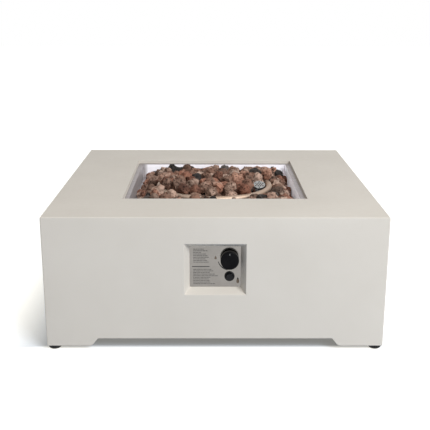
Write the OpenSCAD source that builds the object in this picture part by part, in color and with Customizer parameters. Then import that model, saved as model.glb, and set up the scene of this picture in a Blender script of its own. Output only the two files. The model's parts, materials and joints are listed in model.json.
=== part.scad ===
// Gas fire pit table: a square cast table with a stainless burner pan full of lava rock,
// a control plate in a recess at the front, and four levelling feet.
// The origin is on the floor under the table's centre, +Z is up and the controls face -Y.

/* [Table] */
// Outer width and depth of the square table
table_side = 900; // [840:10:1100]
// Height of the table top above the floor
table_h = 370; // [350:5:480]
// Rounding of the table's outer edges
edge_r = 3; // [1:0.5:5]

/* [Shell] */
// Thickness of the side walls
wall_t = 18; // [14:1:21]
// Thickness of the table top
top_t = 26; // [22:1:36]
// Width of each leg's flat underside, from the outer corner
leg_w = 120; // [90:5:180]
// How far the slope beside a leg runs inwards
leg_slope = 17; // [8:1:40]
// Height of the gap under each apron, above the legs' undersides
apron_gap = 21; // [14:1:60]
// Rounding where a leg's underside meets its slope
leg_r = 14; // [4:1:18]
// Side of the solid block inside each corner
block_side = 52; // [46:1:80]
// Solid height left in a corner block above the stud's bore
block_roof = 24; // [10:1:60]

/* [Fire opening] */
// Side of the square opening in the table top
opening = 517; // [490:1:560]
// Depth of the rebate that the pan's flange lies in
rebate_depth = 11; // [6:0.5:14]
// Width of the ledge that carries the pan's flange
ledge_w = 12; // [10:0.5:16]

/* [Burner pan] */
// Depth of the pan, from the top of its flange to its floor
pan_depth = 52; // [46:1:70]
// Thickness of the pan's sheet
sheet_t = 1.2; // [0.8:0.1:2]
// Gap between the pan's walls and the ledge
pan_clear = 1.8; // [0.5:0.1:3]
// Gap round the flange in the rebate
flange_gap = 2; // [0.5:0.1:3]
// Radius of a drain hole in the pan's floor
drain_r = 4; // [2:0.5:8]
// Distance of the drain holes from the pan's centre lines
drain_inset = 205; // [195:5:215]

/* [Burner ring] */
// Radius of the ring's centre line
ring_r = 170; // [165:1:180]
// Outer radius of the ring's tube
ring_tube_r = 9.5; // [9:0.5:11]
// Wall of the ring's tube
ring_wall = 1.5; // [1:0.1:1.8]
// Depth of the ring's centre line below the table top
ring_drop = 26; // [18:0.5:28]
// Number of flame ports on top of the ring
port_count = 40; // [12:1:60]
// Radius of a flame port
port_r = 1.5; // [0.8:0.1:2.5]
// Outer radius of the ring's inlet pipe
inlet_pipe_r = 7; // [6:0.5:7.5]
// Directions of the ring's three brackets, in degrees
bracket_angles = [30, 120, 210];
// Width of a bracket, across the ring
bracket_w = 24; // [22:1:32]
// Thickness of a bracket's sheet
bracket_t = 2; // [1:0.5:3]
// Length of a bracket's foot, along the ring
bracket_foot = 16; // [12:1:24]
// Depth of a bracket's top below the ring's centre line
cradle_drop = 5; // [3:0.5:7]

/* [Burner inlet] */
// Distance across the flats of the burner's lock nuts
lock_nut_af = 24; // [20:1:28]
// Height of a lock nut
lock_nut_h = 6; // [4:0.5:8]
// Outer radius of the air mixer
mixer_r = 11; // [10:0.5:14]
// Length of the air mixer
mixer_len = 46; // [40:1:60]
// Depth of the mixer's socket for the inlet pipe
mixer_socket = 14; // [8:1:16]
// Radius of the mixer's air windows
air_window_r = 4; // [2:0.5:4.5]
// Radius of the gas jet's shank
jet_r = 6; // [5:0.5:7]
// Length of the jet's shank inside the mixer
jet_len = 11; // [6:1:14]
// Distance across the flats of the jet's hexagon
jet_af = 19; // [17:1:24]
// Height of the jet's hexagon
jet_hex_h = 7; // [5:0.5:10]
// Radius of the jet's bore
jet_bore_r = 0.9; // [0.5:0.1:1.5]

/* [Gas tube] */
// Outer radius of the gas tube
tube_r = 4.75; // [4:0.25:5]
// Wall of the gas tube
tube_wall = 0.9; // [0.6:0.1:1.2]
// Radius of the gas tube's bends
bend_r = 24; // [18:1:28]
// Height of the gas tube's lowest run above the floor
tube_run_z = 140; // [90:1:150]
// Outer radius of the spigots that the tube's nuts screw onto
spigot_r = 5.5; // [5.5:0.1:6.5]
// Length of a spigot
spigot_len = 8; // [6:0.5:10]
// Distance across the flats of a tube nut
tube_nut_af = 17; // [16:1:20]
// Length of a tube nut
tube_nut_len = 16; // [14:1:18]

/* [Pilot] */
// Distance of the pilot hood inside the ring's centre line
hood_inset = 32; // [31:1:40]
// Place of the pilot hood behind the centre, or in front of it where below zero
hood_y = -28; // [-40:1:-10]
// Depth of the hood's top below the table top
hood_drop = 15; // [10:1:18]
// Outer radius of the hood
hood_r = 18; // [17:0.5:19]
// Height of the hood's side
hood_h = 12; // [8:0.5:13]
// Thickness of the hood's sheet
hood_t = 1; // [0.6:0.1:1.2]
// Forward tilt of the hood, in degrees
hood_tilt = 25; // [10:1:30]
// Radius of a hole in the hood
hood_hole_r = 2.4; // [1:0.1:2.6]
// Distance between the centres of the hood's holes
hood_pitch = 7.4; // [6.2:0.1:9]
// Sideways distance of electrode and thermocouple from the hood's centre
probe_offset = 7; // [6:0.5:8]
// Radius of the electrode's ceramic
ceramic_r = 3.5; // [2.5:0.1:3.8]
// Radius of the electrode's wire
electrode_r = 1.1; // [0.8:0.1:1.5]
// Radius of the thermocouple
thermo_r = 3; // [2:0.1:3.4]

/* [Lava rock] */
// Number of rocks that are tried for a place in the pan
rock_count = 420; // [20:10:440]
// Smallest rock radius
rock_r_min = 12; // [10:1:18]
// Largest rock radius
rock_r_max = 30; // [20:1:32]
// Gap between rocks
rock_gap = 0.3; // [0.2:0.05:0.8]
// Height of the heap's crest above the table top
heap_rise = 22; // [0:1:24]
// How far below the table top the heap meets the pan's front and back walls
heap_sink = 18; // [14:1:30]
// How far below the table top the heap meets the pan's left wall
heap_sink_left = 50; // [30:1:56]
// How far below the table top the heap meets the pan's right wall
heap_sink_right = 42; // [30:1:56]
// Seed of the rocks' places and shapes
rock_seed = 19; // [1:1:60]

/* [Control recess] */
// Width of the recess at the front face
recess_w = 162; // [158:1:190]
// Height of the recess at the front face
recess_h = 140; // [136:1:170]
// Depth of the recess's centre below the table top
recess_drop = 142; // [130:1:150]
// Depth of the recess, from the front face to the control plate
recess_depth = 26; // [24:1:36]
// How far each wall of the recess leans in over its depth
recess_splay = 14; // [6:1:16]

/* [Control plate] */
// Thickness of the control plate
plate_t = 1.5; // [1:0.1:2.5]
// How far the plate reaches past the recess's inner edge
plate_margin = 16; // [14:1:20]
// How far the frame behind the recess reaches past the plate
frame_margin = 6; // [3:1:12]
// Distance of the plate's screws from its side edges
plate_screw_inset = 5; // [4.5:0.5:6]
// Height of the plate's screws above and below its middle
plate_screw_rise = 52; // [40:1:56]
// Depth of the control box behind the plate
box_depth = 97; // [95:1:120]
// Height of the control box above and below the plate's middle
box_half_h = 62; // [60:1:66]
// Thickness of the control box's sheet
box_t = 1; // [0.6:0.1:1.5]
// Width of the control box's side flanges
box_flange = 11; // [10:0.5:12]

/* [Knob] */
// Distance of the knob to the right of the recess's centre
knob_x = 38; // [36:1:40]
// Height of the knob's axis above the recess's centre
knob_rise = 22; // [20:1:26]
// Radius of the knob
knob_r = 24.25; // [22:0.25:26]
// Length of the knob
knob_len = 17; // [14:0.5:18]
// Gap between the knob and the plate
knob_gap = 5; // [4.5:0.1:6]
// Wall of the knob
knob_wall = 2.5; // [2:0.1:4]
// Radius of the knob's hub
hub_r = 8; // [6.5:0.5:9]
// Travel of the knob when it is pressed
knob_travel = 4; // [2:0.5:4]

/* [Valve] */
// Radius of the valve's stem
stem_r = 4; // [3:0.25:4.5]
// Distance of the stem's flat from its axis
stem_flat = 2.8; // [2:0.1:2.9]
// Thickness of the valve's bonnet
bonnet_t = 4; // [3:0.5:6]
// Radius of the valve's bonnet
bonnet_r = 20; // [19:0.5:21]
// Distance of the bonnet's screws from the valve's axis
bonnet_screw_x = 14; // [13.5:0.1:14.5]
// Half the height of the valve's body
valve_half = 17; // [16:0.5:20]
// Length of the valve's body
valve_len = 38; // [36:1:42]
// How far the valve's body reaches left of its axis
valve_left = 30; // [29:0.5:32]
// How far the valve's body reaches right of its axis
valve_right = 16; // [15.5:0.5:20]
// Radius of the valve's plug
plug_r = 9; // [8.5:0.25:9.5]
// Length of the valve's plug
plug_len = 17; // [15:0.5:19]
// Room for the stem's spring in front of the plug
spring_room = 10; // [10:0.5:11]
// Radius of the flame-safety magnet
magnet_r = 7; // [6:0.25:7.5]
// Length of the flame-safety magnet
magnet_len = 22; // [18:1:24]
// Distance of the magnet to the left of the valve's axis
magnet_x = 20; // [19.5:0.5:21]

/* [Gas inlet] */
// Radius of the inlet's thread
inlet_r = 7.94; // [6:0.01:9]
// Length of the inlet's thread
inlet_len = 18; // [14:1:20]
// Side of the inlet elbow's block
elbow_side = 20; // [18.5:0.5:24]

/* [Igniter] */
// Depth of the igniter's axis below the recess's centre
igniter_fall = 27; // [26:1:30]
// Radius of the igniter's bezel
bezel_r = 13.5; // [12.5:0.25:14.5]
// Thickness of the igniter's bezel
bezel_t = 3; // [2:0.5:5]
// Radius of the igniter's tube
igniter_r = 11; // [10.5:0.25:11.5]
// Radius of the igniter's button
button_r = 9.3; // [8:0.1:9.5]
// How far the button stands out of its bezel
button_out = 7; // [5:0.5:9]
// Travel of the button
button_travel = 4; // [2:0.5:4]
// Radius of the battery
battery_r = 5.25; // [4:0.05:6]
// Length of the battery
battery_len = 44.5; // [40:0.5:46]
// Room for the spring between button and battery
contact_room = 8.5; // [8:0.5:10]

/* [Feet] */
// Radius of a foot pad
foot_r = 18; // [15:0.5:20]
// Height of a foot pad
foot_h = 12; // [11:0.5:16]
// Radius of a pad's flat underside
foot_flat_r = 10; // [9:0.5:12]
// Distance of a foot's centre from the table's outer faces
foot_inset = 18.5; // [18.5:0.5:26]
// Radius of a foot's threaded stud
stud_r = 5; // [4:0.5:6]
// Length of a stud above its pad
stud_len = 40; // [34:1:50]
// Radius of a stud's disc head, inside the pad
stud_head_r = 8; // [7:0.25:8.5]
// Outer radius of a threaded insert
insert_r = 8; // [7:0.5:9]
// Length of a threaded insert
insert_len = 32; // [20:1:33]

/* [Fits] */
// Radial clearance of a turning or sliding fit
run_fit = 0.05; // [0.02:0.01:0.08]
// Radial clearance of a fastener or fixed piece in its hole
hole_fit = 0.1; // [0.05:0.01:0.15]
// Radius of the small fasteners' shanks
screw_r = 1.9; // [1.5:0.1:2]
// Radius of the small fasteners' heads
screw_head_r = 3.6; // [3:0.1:3.8]
// Height of the small fasteners' heads
screw_head_h = 2; // [1.2:0.1:2.5]
// Length of the screws that bite into the cast shell
screw_bite = 8; // [5:0.5:9]

/* [Hidden] */
$fn = 48;
arc_steps = 6;
cut = 1;
corner_signs = [[-1, -1], [1, -1], [-1, 1], [1, 1]];

half_side = table_side / 2;
inner_half = half_side - wall_t;
front_y = -half_side;
top_under = table_h - top_t;
block_h = stud_len + cut + block_roof;
foot_at = half_side - foot_inset;
stud_head_z = 3.5;
stud_head_h = 4.5;

ledge_z = table_h - rebate_depth;
ledge_open = opening - 2 * ledge_w;
flange_side = opening - 2 * flange_gap;
flange_top = ledge_z + sheet_t;
pan_outer = ledge_open - 2 * pan_clear;
pan_inner = pan_outer - 2 * sheet_t;
pan_half = pan_inner / 2;
pan_floor = flange_top - pan_depth;
pan_under = pan_floor - sheet_t;
pan_screw_at = (ledge_open + flange_side) / 4;

ring_z = table_h - ring_drop;
ring_bore_r = ring_tube_r - ring_wall;
inlet_pipe_bore = inlet_pipe_r - ring_wall;
rivet_at = bracket_foot / 2 + bracket_t / 4;

recess_z = table_h - recess_drop;
panel_y = front_y + recess_depth;
recess_in_w = recess_w - 2 * recess_splay;
recess_in_h = recess_h - 2 * recess_splay;
plate_w = recess_in_w + 2 * plate_margin;
plate_h = recess_in_h + 2 * plate_margin;
plate_rear = panel_y + plate_t;
plate_screw_x = plate_w / 2 - plate_screw_inset;
box_w = plate_w - 2 * box_flange;
box_rear = plate_rear + box_depth;

valve_x = knob_x;
valve_z = recess_z + knob_rise;
bonnet_rear = plate_rear + bonnet_t;
valve_rear = bonnet_rear + valve_len;
plug_front = bonnet_rear + spring_room;
plug_rear = plug_front + plug_len;
plug_mid = plug_front + plug_len / 2;
stem_reach = 7;
plug_socket = stem_reach + knob_travel + cut;
collar_t = 2;
collar_r = 7.2;
spring_wire = 0.5;
spring_coil_r = 6.2;
spring_turns = 3.5;
knob_back = panel_y - knob_gap;
knob_front = knob_back - knob_len;
knob_face_t = 3.5;
magnet_at = valve_x - magnet_x;
passage_r = 3.5;
plug_bore_r = passage_r - 1;
elbow_bore_r = passage_r - 0.5;
magnet_shank_r = magnet_r - 1;
magnet_nut_af = 2 * magnet_r - 4;
magnet_nut_len = 5;
coil_steps = 8;
coil_sides = 6;

inlet_pipe_y = -sqrt(pow(ring_r, 2) - pow(valve_x, 2));
mixer_top = pan_under - lock_nut_h;
mixer_under = mixer_top - mixer_len;
jet_under = mixer_under - jet_hex_h;
tube_top = jet_under - spigot_len;
tube_start = valve_rear + spigot_len;
box_tube_gap = 3;
tube_down_y = box_rear - box_t - box_tube_gap - tube_r;

elbow_x = valve_x - valve_left - elbow_side / 2;
elbow_top = valve_z + elbow_side / 2;
elbow_under = valve_z - valve_half - cut;

igniter_z = recess_z - igniter_fall;
bezel_front = panel_y - bezel_t;
button_front = bezel_front - button_out;
button_len = 16;
button_rear = button_front + button_len;
button_spare = 0.4;
button_well = button_rear + button_travel + button_spare;
battery_front = button_rear + contact_room;
battery_rear = battery_front + battery_len;
igniter_end = 3;
igniter_rear = battery_rear + igniter_end;
igniter_nut_r = 15;
igniter_nut_t = 5;
contact_wire = 0.4;
contact_coil_r = 4.2;
contact_turns = 4;
terminal_side = 6;
terminal_sunk = 1;
terminal_x = valve_x - igniter_r - terminal_side + terminal_sunk;
terminal_y = igniter_rear - terminal_side / 2 - terminal_sunk;

hood_x = ring_r - hood_inset;
hood_z = table_h - hood_drop;
probe_y = hood_y - 2;
probe_under = pan_under - 12;
probe_bare = 10;
electrode_rise = 2;
thermo_rise = 1;
hole_margin = 1;
shelf_lip = 2;
shelf_rise = 18;
shelf_z = pan_floor + shelf_rise;
arm_w = 10;
arm_t = 2;
arm_len = (hood_z - pan_floor) / cos(hood_tilt) - hood_t - arm_t;
arm_foot_y = hood_y + (hood_z - pan_floor) * tan(hood_tilt);

lead_hole_z = valve_z - 2.5;
lead_hole_r = 6;
grommet_lip = 2;
clip_back = 70;
clip_y = probe_y - clip_back;
clip_len = 10;
clip_eye_r = 3.5;
lead_drop = 25;
lead_run_z = pan_under - lead_drop;
lead_straight = 9;
lead_bend_r = 7;
lead_sway = 4;
lead_end = 3;
thermo_lead_r = 1.25;
ignition_lead_r = 2;
ignition_lead_z = lead_hole_z - 1.7;
lead_sides = 8;
lead_steps = 2;

// A place between two points, with the same share t of the way on each axis
function mix(a, b, t) = a + (b - a) * t;
// A place on an S-shaped way between two points that leaves and arrives along Y
function sway(a, b, t) =
    let (s = t * t * (3 - 2 * t)) [mix(a[0], b[0], s), mix(a[1], b[1], t), mix(a[2], b[2], s)];
// The way that a lead takes from the grommet, at height z, through the clip and up to its probe at x
function lead_way(x, z) =
    let (
        inside = [magnet_at, box_rear - box_t - lead_straight, z],
        outside = [magnet_at, box_rear + lead_straight, z],
        clip_in = [x, clip_y - 2 * clip_len, lead_run_z],
        bend = arc(probe_y - lead_bend_r, lead_run_z + lead_bend_r, lead_bend_r, 270, 360)
    )
    concat(
        [inside, mix(inside, outside, 0.5)],
        [for (i = [0 : lead_sway + 1]) sway(outside, clip_in, i / (lead_sway + 1))],
        [for (s = [-1, 1, 2]) [x, clip_y + s * clip_len, lead_run_z]],
        [for (i = [0 : 2 : arc_steps]) [x, bend[i][0], bend[i][1]]],
        [for (i = [1, 0]) [x, probe_y, probe_under - i * lead_end]]
    );
// Route of the thermocouple's lead, from the magnet to the thermocouple's lower end
thermo_start = [magnet_at, valve_rear + magnet_len + magnet_nut_len, valve_z];
thermo_route = concat([thermo_start], lead_way(hood_x + probe_offset, valve_z));
// Route of the ignition lead, from the igniter's terminal to the electrode's lower end
ignition_start = [terminal_x, terminal_y, igniter_z];
ignition_turn = ignition_start + [-9, 2, 5];
ignition_way = lead_way(hood_x - probe_offset, ignition_lead_z);
ignition_route = concat(
    [ignition_start, ignition_start - [lead_end, 0, 0], ignition_start - [2 * lead_end, 0, 0]],
    [for (t = [0, 0.35, 0.7]) mix(ignition_turn, ignition_way[0], t)],
    ignition_way
);

rock_overlap = 0.74;
rock_tries = 30;
rock_lean = 1.4;
rock_sides = 5;
rock_rings = [-48, 0, 48];
rock_clear = 1;
rock_low = 0.8;
rock_high = 1.1;
rock_meet = 1.2;
ring_bare_arcs = [[122, 188], [250, 372]];
sight_drop = 20;
sight_slope = 0.3;
heap_slope = 0.3;
heap_side_slope = 0.8;
least_facing = 0.05;
rock_turn = 60;
shape_seed = 100;
kind_seed = 1000;
ring_sample = 3;
ring_samples = 6;
dark_spot = [-115, 185];
dark_reach = 48;
dark_share = 0.12;
rust_share = 0.4;

// Points along an arc, from angle a0 to angle a1
function arc(x, y, r, a0, a1) =
    [for (i = [0 : arc_steps]) let (a = a0 + (a1 - a0) * i / arc_steps) [x + r * cos(a), y + r * sin(a)]];

// Outline of a square with four rounded corners
function round_square(side, r) =
    let (c = side / 2 - r)
    concat(arc(c, c, r, 0, 90), arc(-c, c, r, 90, 180), arc(-c, -c, r, 180, 270), arc(c, -c, r, 270, 360));

// Turns a shape's +Z to +Y and moves it there
module facing_back(x, y, z) {
    translate([x, y, z]) rotate([-90, 0, 0]) children();
}

module hexagon(af, h) {
    cylinder(r = af / sqrt(3), h = h, $fn = 6);
}

// A fastener along +Z with its head above zero
module screw(len) {
    translate([0, 0, -len]) cylinder(r = screw_r, h = len + cut);
    cylinder(r = screw_head_r, h = screw_head_h);
}

// Shell

// The upright outline of the table, with rounded top edges
module side_prism() {
    c = half_side - edge_r;
    top = concat(arc(c, table_h - edge_r, edge_r, 0, 90), arc(-c, table_h - edge_r, edge_r, 90, 180));
    outline = concat([[-half_side, foot_h], [half_side, foot_h]], top);
    rotate([90, 0, 0]) linear_extrude(table_side + 2 * cut, center = true) polygon(outline);
}

module outer_block() {
    intersection() {
        translate([0, 0, foot_h]) linear_extrude(table_h - foot_h) polygon(round_square(table_side, edge_r));
        side_prism();
        rotate([0, 0, 90]) side_prism();
    }
}

module shell_hollow() {
    difference() {
        translate([-inner_half, -inner_half, foot_h - cut])
            cube([2 * inner_half, 2 * inner_half, top_under - foot_h + cut]);
        for (s = corner_signs)
            translate([s[0] * half_side - block_side, s[1] * half_side - block_side, foot_h])
                cube([2 * block_side, 2 * block_side, block_h]);
    }
}

// The cut under two opposite aprons, between their legs
module apron_cut() {
    foot_x = half_side - leg_w;
    slope_angle = atan2(apron_gap, leg_slope);
    reach = leg_r * tan(slope_angle / 2);
    round_x = foot_x + reach;
    right = concat(
        [[round_x, foot_h - cut]],
        arc(round_x, foot_h + leg_r, leg_r, 270, 270 - slope_angle),
        [[foot_x - leg_slope, foot_h + apron_gap]]
    );
    left = [for (i = [len(right) - 1 : -1 : 0]) [-right[i][0], right[i][1]]];
    rotate([90, 0, 0]) linear_extrude(table_side + 2 * cut, center = true) polygon(concat(right, left));
}

// The splayed hole of the control recess
module recess_cut() {
    lean = recess_splay / recess_depth;
    near = front_y - cut;
    far = panel_y + cut;
    near_w = recess_w / 2 + lean * cut;
    near_h = recess_h / 2 + lean * cut;
    far_w = recess_in_w / 2 - lean * cut;
    far_h = recess_in_h / 2 - lean * cut;
    intersection() {
        translate([0, 0, recess_z - recess_h]) linear_extrude(2 * recess_h)
            polygon([[-near_w, near], [near_w, near], [far_w, far], [-far_w, far]]);
        translate([-recess_w, 0, recess_z]) rotate([90, 0, 90]) linear_extrude(2 * recess_w)
            polygon([[near, -near_h], [far, -far_h], [far, far_h], [near, near_h]]);
    }
}

module fire_opening() {
    translate([-ledge_open / 2, -ledge_open / 2, top_under - cut])
        cube([ledge_open, ledge_open, top_t + 2 * cut]);
    translate([-opening / 2, -opening / 2, ledge_z])
        cube([opening, opening, rebate_depth + cut]);
}

module foot_bores() {
    for (s = corner_signs) translate([s[0] * foot_at, s[1] * foot_at, foot_h - cut]) {
        cylinder(r = insert_r + hole_fit, h = insert_len + cut);
        cylinder(r = stud_r + cut, h = stud_len + 2 * cut);
    }
}

module pan_screw_places() {
    for (a = [0 : 90 : 270]) rotate([0, 0, a]) translate([pan_screw_at, 0, flange_top]) children();
}

module plate_screw_places() {
    for (sx = [-1, 1], sz = [-1, 1])
        facing_back(sx * plate_screw_x, plate_rear + box_t, recess_z + sz * plate_screw_rise) children();
}

module body_shell() {
    color("antiquewhite") difference() {
        outer_block();
        shell_hollow();
        fire_opening();
        apron_cut();
        rotate([0, 0, 90]) apron_cut();
        recess_cut();
        foot_bores();
        pan_screw_places() translate([0, 0, -sheet_t - screw_bite - cut])
            cylinder(r = screw_r + hole_fit, h = screw_bite + 2 * cut);
    }
}

// A frame cast apart and bonded behind the recess, into which the plate and the box are screwed
module recess_frame() {
    w = plate_w + 2 * frame_margin;
    h = plate_h + 2 * frame_margin;
    color("antiquewhite") difference() {
        translate([-w / 2, front_y + wall_t, recess_z - h / 2]) cube([w, recess_depth - wall_t, h]);
        recess_cut();
        plate_screw_places() translate([0, 0, -box_t - plate_t - screw_bite - cut])
            cylinder(r = screw_r + hole_fit, h = screw_bite + 2 * cut);
    }
}

// Feet

module foot_inserts() {
    color("silver") for (s = corner_signs) translate([s[0] * foot_at, s[1] * foot_at, foot_h])
        difference() {
            cylinder(r = insert_r, h = insert_len);
            translate([0, 0, -cut]) cylinder(r = stud_r + run_fit, h = insert_len + 2 * cut);
        }
}

// A black plastic pad with a rounded underside, moulded round the stud's head
module foot_pad(sx, sy) {
    rim_h = 2.5;
    rim_z = foot_h - rim_h;
    bowl = [for (i = [0 : arc_steps]) let (a = 90 * i / arc_steps)
        [foot_flat_r + (foot_r - foot_flat_r) * sin(a), rim_z * (1 - cos(a))]];
    color("dimgray") translate([sx * foot_at, sy * foot_at, 0]) difference() {
        rotate_extrude() polygon(concat([[0, 0]], bowl, [[foot_r, foot_h], [0, foot_h]]));
        translate([0, 0, stud_head_z]) cylinder(r = stud_head_r + run_fit, h = stud_head_h + run_fit);
        translate([0, 0, stud_head_z]) cylinder(r = stud_r + run_fit, h = foot_h);
    }
}

module foot_stud(sx, sy) {
    color("lightgray") translate([sx * foot_at, sy * foot_at, 0]) {
        translate([0, 0, stud_head_z + run_fit / 2]) cylinder(r = stud_head_r, h = stud_head_h);
        translate([0, 0, stud_head_z + cut]) cylinder(r = stud_r, h = foot_h + stud_len - stud_head_z - cut);
    }
}

// Burner

module bracket_places() {
    for (a = bracket_angles) rotate([0, 0, a]) translate([ring_r, 0, pan_floor]) children();
}

module bracket_rivet_places() {
    bracket_places() translate([0, rivet_at, bracket_t]) children();
}

module inlet_pipe_place() {
    translate([valve_x, inlet_pipe_y, 0]) children();
}

module probe_places() {
    translate([hood_x - probe_offset, probe_y, 0]) children(0);
    translate([hood_x + probe_offset, probe_y, 0]) children(1);
}

module burner_pan() {
    color("gainsboro") difference() {
        union() {
            translate([-flange_side / 2, -flange_side / 2, ledge_z])
                cube([flange_side, flange_side, sheet_t]);
            translate([-pan_outer / 2, -pan_outer / 2, pan_under])
                cube([pan_outer, pan_outer, flange_top - pan_under]);
        }
        translate([-pan_half, -pan_half, pan_floor]) cube([pan_inner, pan_inner, pan_depth + cut]);
        for (s = corner_signs) translate([s[0] * drain_inset, s[1] * drain_inset, pan_under - cut])
            cylinder(r = drain_r, h = sheet_t + 2 * cut);
        inlet_pipe_place() translate([0, 0, pan_under - cut])
            cylinder(r = inlet_pipe_r + hole_fit, h = sheet_t + 2 * cut);
        bracket_rivet_places() translate([0, 0, -bracket_t - sheet_t - cut])
            cylinder(r = screw_r + hole_fit, h = sheet_t + 2 * cut);
        pan_screw_places() translate([0, 0, -sheet_t - cut])
            cylinder(r = screw_r + hole_fit, h = sheet_t + 2 * cut);
        probe_places() {
            translate([0, 0, pan_under - cut]) cylinder(r = ceramic_r + hole_fit, h = sheet_t + 2 * cut);
            translate([0, 0, pan_under - cut]) cylinder(r = thermo_r + hole_fit, h = sheet_t + 2 * cut);
        }
        translate([hood_x, arm_foot_y + arm_t + bracket_foot / 2, pan_under - cut])
            cylinder(r = screw_r + hole_fit, h = sheet_t + 2 * cut);
    }
}

module pan_screws() {
    color("silver") pan_screw_places() screw(sheet_t + screw_bite);
}

module burner_ring() {
    color("lightgray") difference() {
        union() {
            rotate_extrude() translate([ring_r, ring_z]) circle(r = ring_tube_r);
            inlet_pipe_place() translate([0, 0, mixer_top - mixer_socket])
                cylinder(r = inlet_pipe_r, h = ring_z - mixer_top + mixer_socket);
        }
        rotate_extrude() translate([ring_r, ring_z]) circle(r = ring_bore_r);
        inlet_pipe_place() translate([0, 0, mixer_top - mixer_socket - cut])
            cylinder(r = inlet_pipe_bore, h = ring_z - mixer_top + mixer_socket + cut);
        for (i = [0 : port_count - 1]) rotate([0, 0, 360 * (i + 0.5) / port_count])
            translate([ring_r, 0, ring_z]) cylinder(r = port_r, h = ring_tube_r + cut);
    }
}

// A folded strip: an upright notched for the ring, and a foot riveted to the pan's floor
module ring_brackets() {
    color("darkgray") bracket_places() difference() {
        union() {
            translate([-bracket_w / 2, -bracket_t / 2, 0])
                cube([bracket_w, bracket_t, ring_z - cradle_drop - pan_floor]);
            translate([-bracket_w / 2, -bracket_t / 2, 0]) cube([bracket_w, bracket_foot, bracket_t]);
        }
        translate([0, -bracket_foot, ring_z - pan_floor]) rotate([-90, 0, 0])
            cylinder(r = ring_tube_r + hole_fit, h = 2 * bracket_foot);
        translate([0, rivet_at, -cut]) cylinder(r = screw_r + hole_fit, h = bracket_t + 2 * cut);
    }
}

// A rivet through two sheets, with a head on each side
module rivet(grip) {
    cylinder(r = screw_head_r, h = screw_head_h);
    translate([0, 0, -grip - cut]) cylinder(r = screw_r, h = grip + 2 * cut);
    translate([0, 0, -grip - screw_head_h]) cylinder(r = screw_head_r, h = screw_head_h);
}

module bracket_rivets() {
    color("silver") {
        bracket_rivet_places() rivet(bracket_t + sheet_t);
        translate([hood_x, arm_foot_y + arm_t + bracket_foot / 2, pan_floor + arm_t]) rivet(arm_t + sheet_t);
    }
}

module lock_nuts() {
    color("goldenrod") inlet_pipe_place() for (z = [pan_floor, mixer_top]) translate([0, 0, z])
        difference() {
            hexagon(lock_nut_af, lock_nut_h);
            translate([0, 0, -cut]) cylinder(r = inlet_pipe_r + run_fit, h = lock_nut_h + 2 * cut);
        }
}

module air_mixer() {
    color("darkgray") inlet_pipe_place() translate([0, 0, mixer_under]) difference() {
        cylinder(r = mixer_r, h = mixer_len);
        translate([0, 0, mixer_len - mixer_socket])
            cylinder(r = inlet_pipe_r + run_fit, h = mixer_socket + cut);
        translate([0, 0, -cut]) cylinder(r = inlet_pipe_bore, h = mixer_len);
        translate([0, 0, -cut]) cylinder(r = jet_r + run_fit, h = jet_len + 2 * cut);
        for (a = [0, 90]) rotate([0, 0, a])
            translate([-mixer_r - cut, 0, (mixer_len - mixer_socket + jet_len) / 2]) rotate([0, 90, 0])
                cylinder(r = air_window_r, h = 2 * mixer_r + 2 * cut);
    }
}

module gas_jet() {
    color("goldenrod") inlet_pipe_place() difference() {
        union() {
            translate([0, 0, jet_under]) hexagon(jet_af, jet_hex_h);
            translate([0, 0, mixer_under - cut]) cylinder(r = jet_r, h = jet_len + cut);
            translate([0, 0, tube_top]) cylinder(r = spigot_r, h = spigot_len + cut);
        }
        translate([0, 0, tube_top - cut]) cylinder(r = jet_bore_r, h = mixer_len);
        translate([0, 0, tube_top - cut]) cylinder(r = tube_r - tube_wall, h = spigot_len);
    }
}

// A quarter bend of the gas tube in its upright plane, starting at angle a0
module tube_bend(r, y, z, a0) {
    translate([valve_x, y, z]) rotate([90, 0, 90]) rotate([0, 0, a0])
        rotate_extrude(angle = 90) translate([bend_r, 0]) circle(r = r);
}

// The whole path of the gas tube: back from the valve, down, back under the pan and up to the jet
module tube_path(r) {
    bend_start = tube_down_y - bend_r;
    facing_back(valve_x, tube_start, valve_z) cylinder(r = r, h = bend_start - tube_start);
    tube_bend(r, bend_start, valve_z - bend_r, 0);
    translate([valve_x, tube_down_y, tube_run_z + bend_r])
        cylinder(r = r, h = valve_z - tube_run_z - 2 * bend_r);
    tube_bend(r, tube_down_y + bend_r, tube_run_z + bend_r, 180);
    facing_back(valve_x, tube_down_y + bend_r, tube_run_z)
        cylinder(r = r, h = inlet_pipe_y - tube_down_y - 2 * bend_r);
    tube_bend(r, inlet_pipe_y - bend_r, tube_run_z + bend_r, 270);
    translate([valve_x, inlet_pipe_y, tube_run_z + bend_r])
        cylinder(r = r, h = tube_top - tube_run_z - bend_r);
}

module gas_tube() {
    color("lightgray") difference() {
        tube_path(tube_r);
        tube_path(tube_r - tube_wall);
    }
}

// A nut along +Z that closes over a spigot and the tube's end
module tube_nut() {
    difference() {
        hexagon(tube_nut_af, tube_nut_len);
        translate([0, 0, -cut]) cylinder(r = spigot_r + run_fit, h = spigot_len + cut);
        translate([0, 0, -cut]) cylinder(r = tube_r + run_fit, h = tube_nut_len + 2 * cut);
    }
}

module tube_nuts() {
    color("goldenrod") {
        facing_back(valve_x, valve_rear, valve_z) tube_nut();
        translate([valve_x, inlet_pipe_y, jet_under]) rotate([180, 0, 0]) tube_nut();
    }
}

// Pilot

module hood_place() {
    translate([hood_x, hood_y, hood_z]) rotate([hood_tilt, 0, 0]) children();
}

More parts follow.
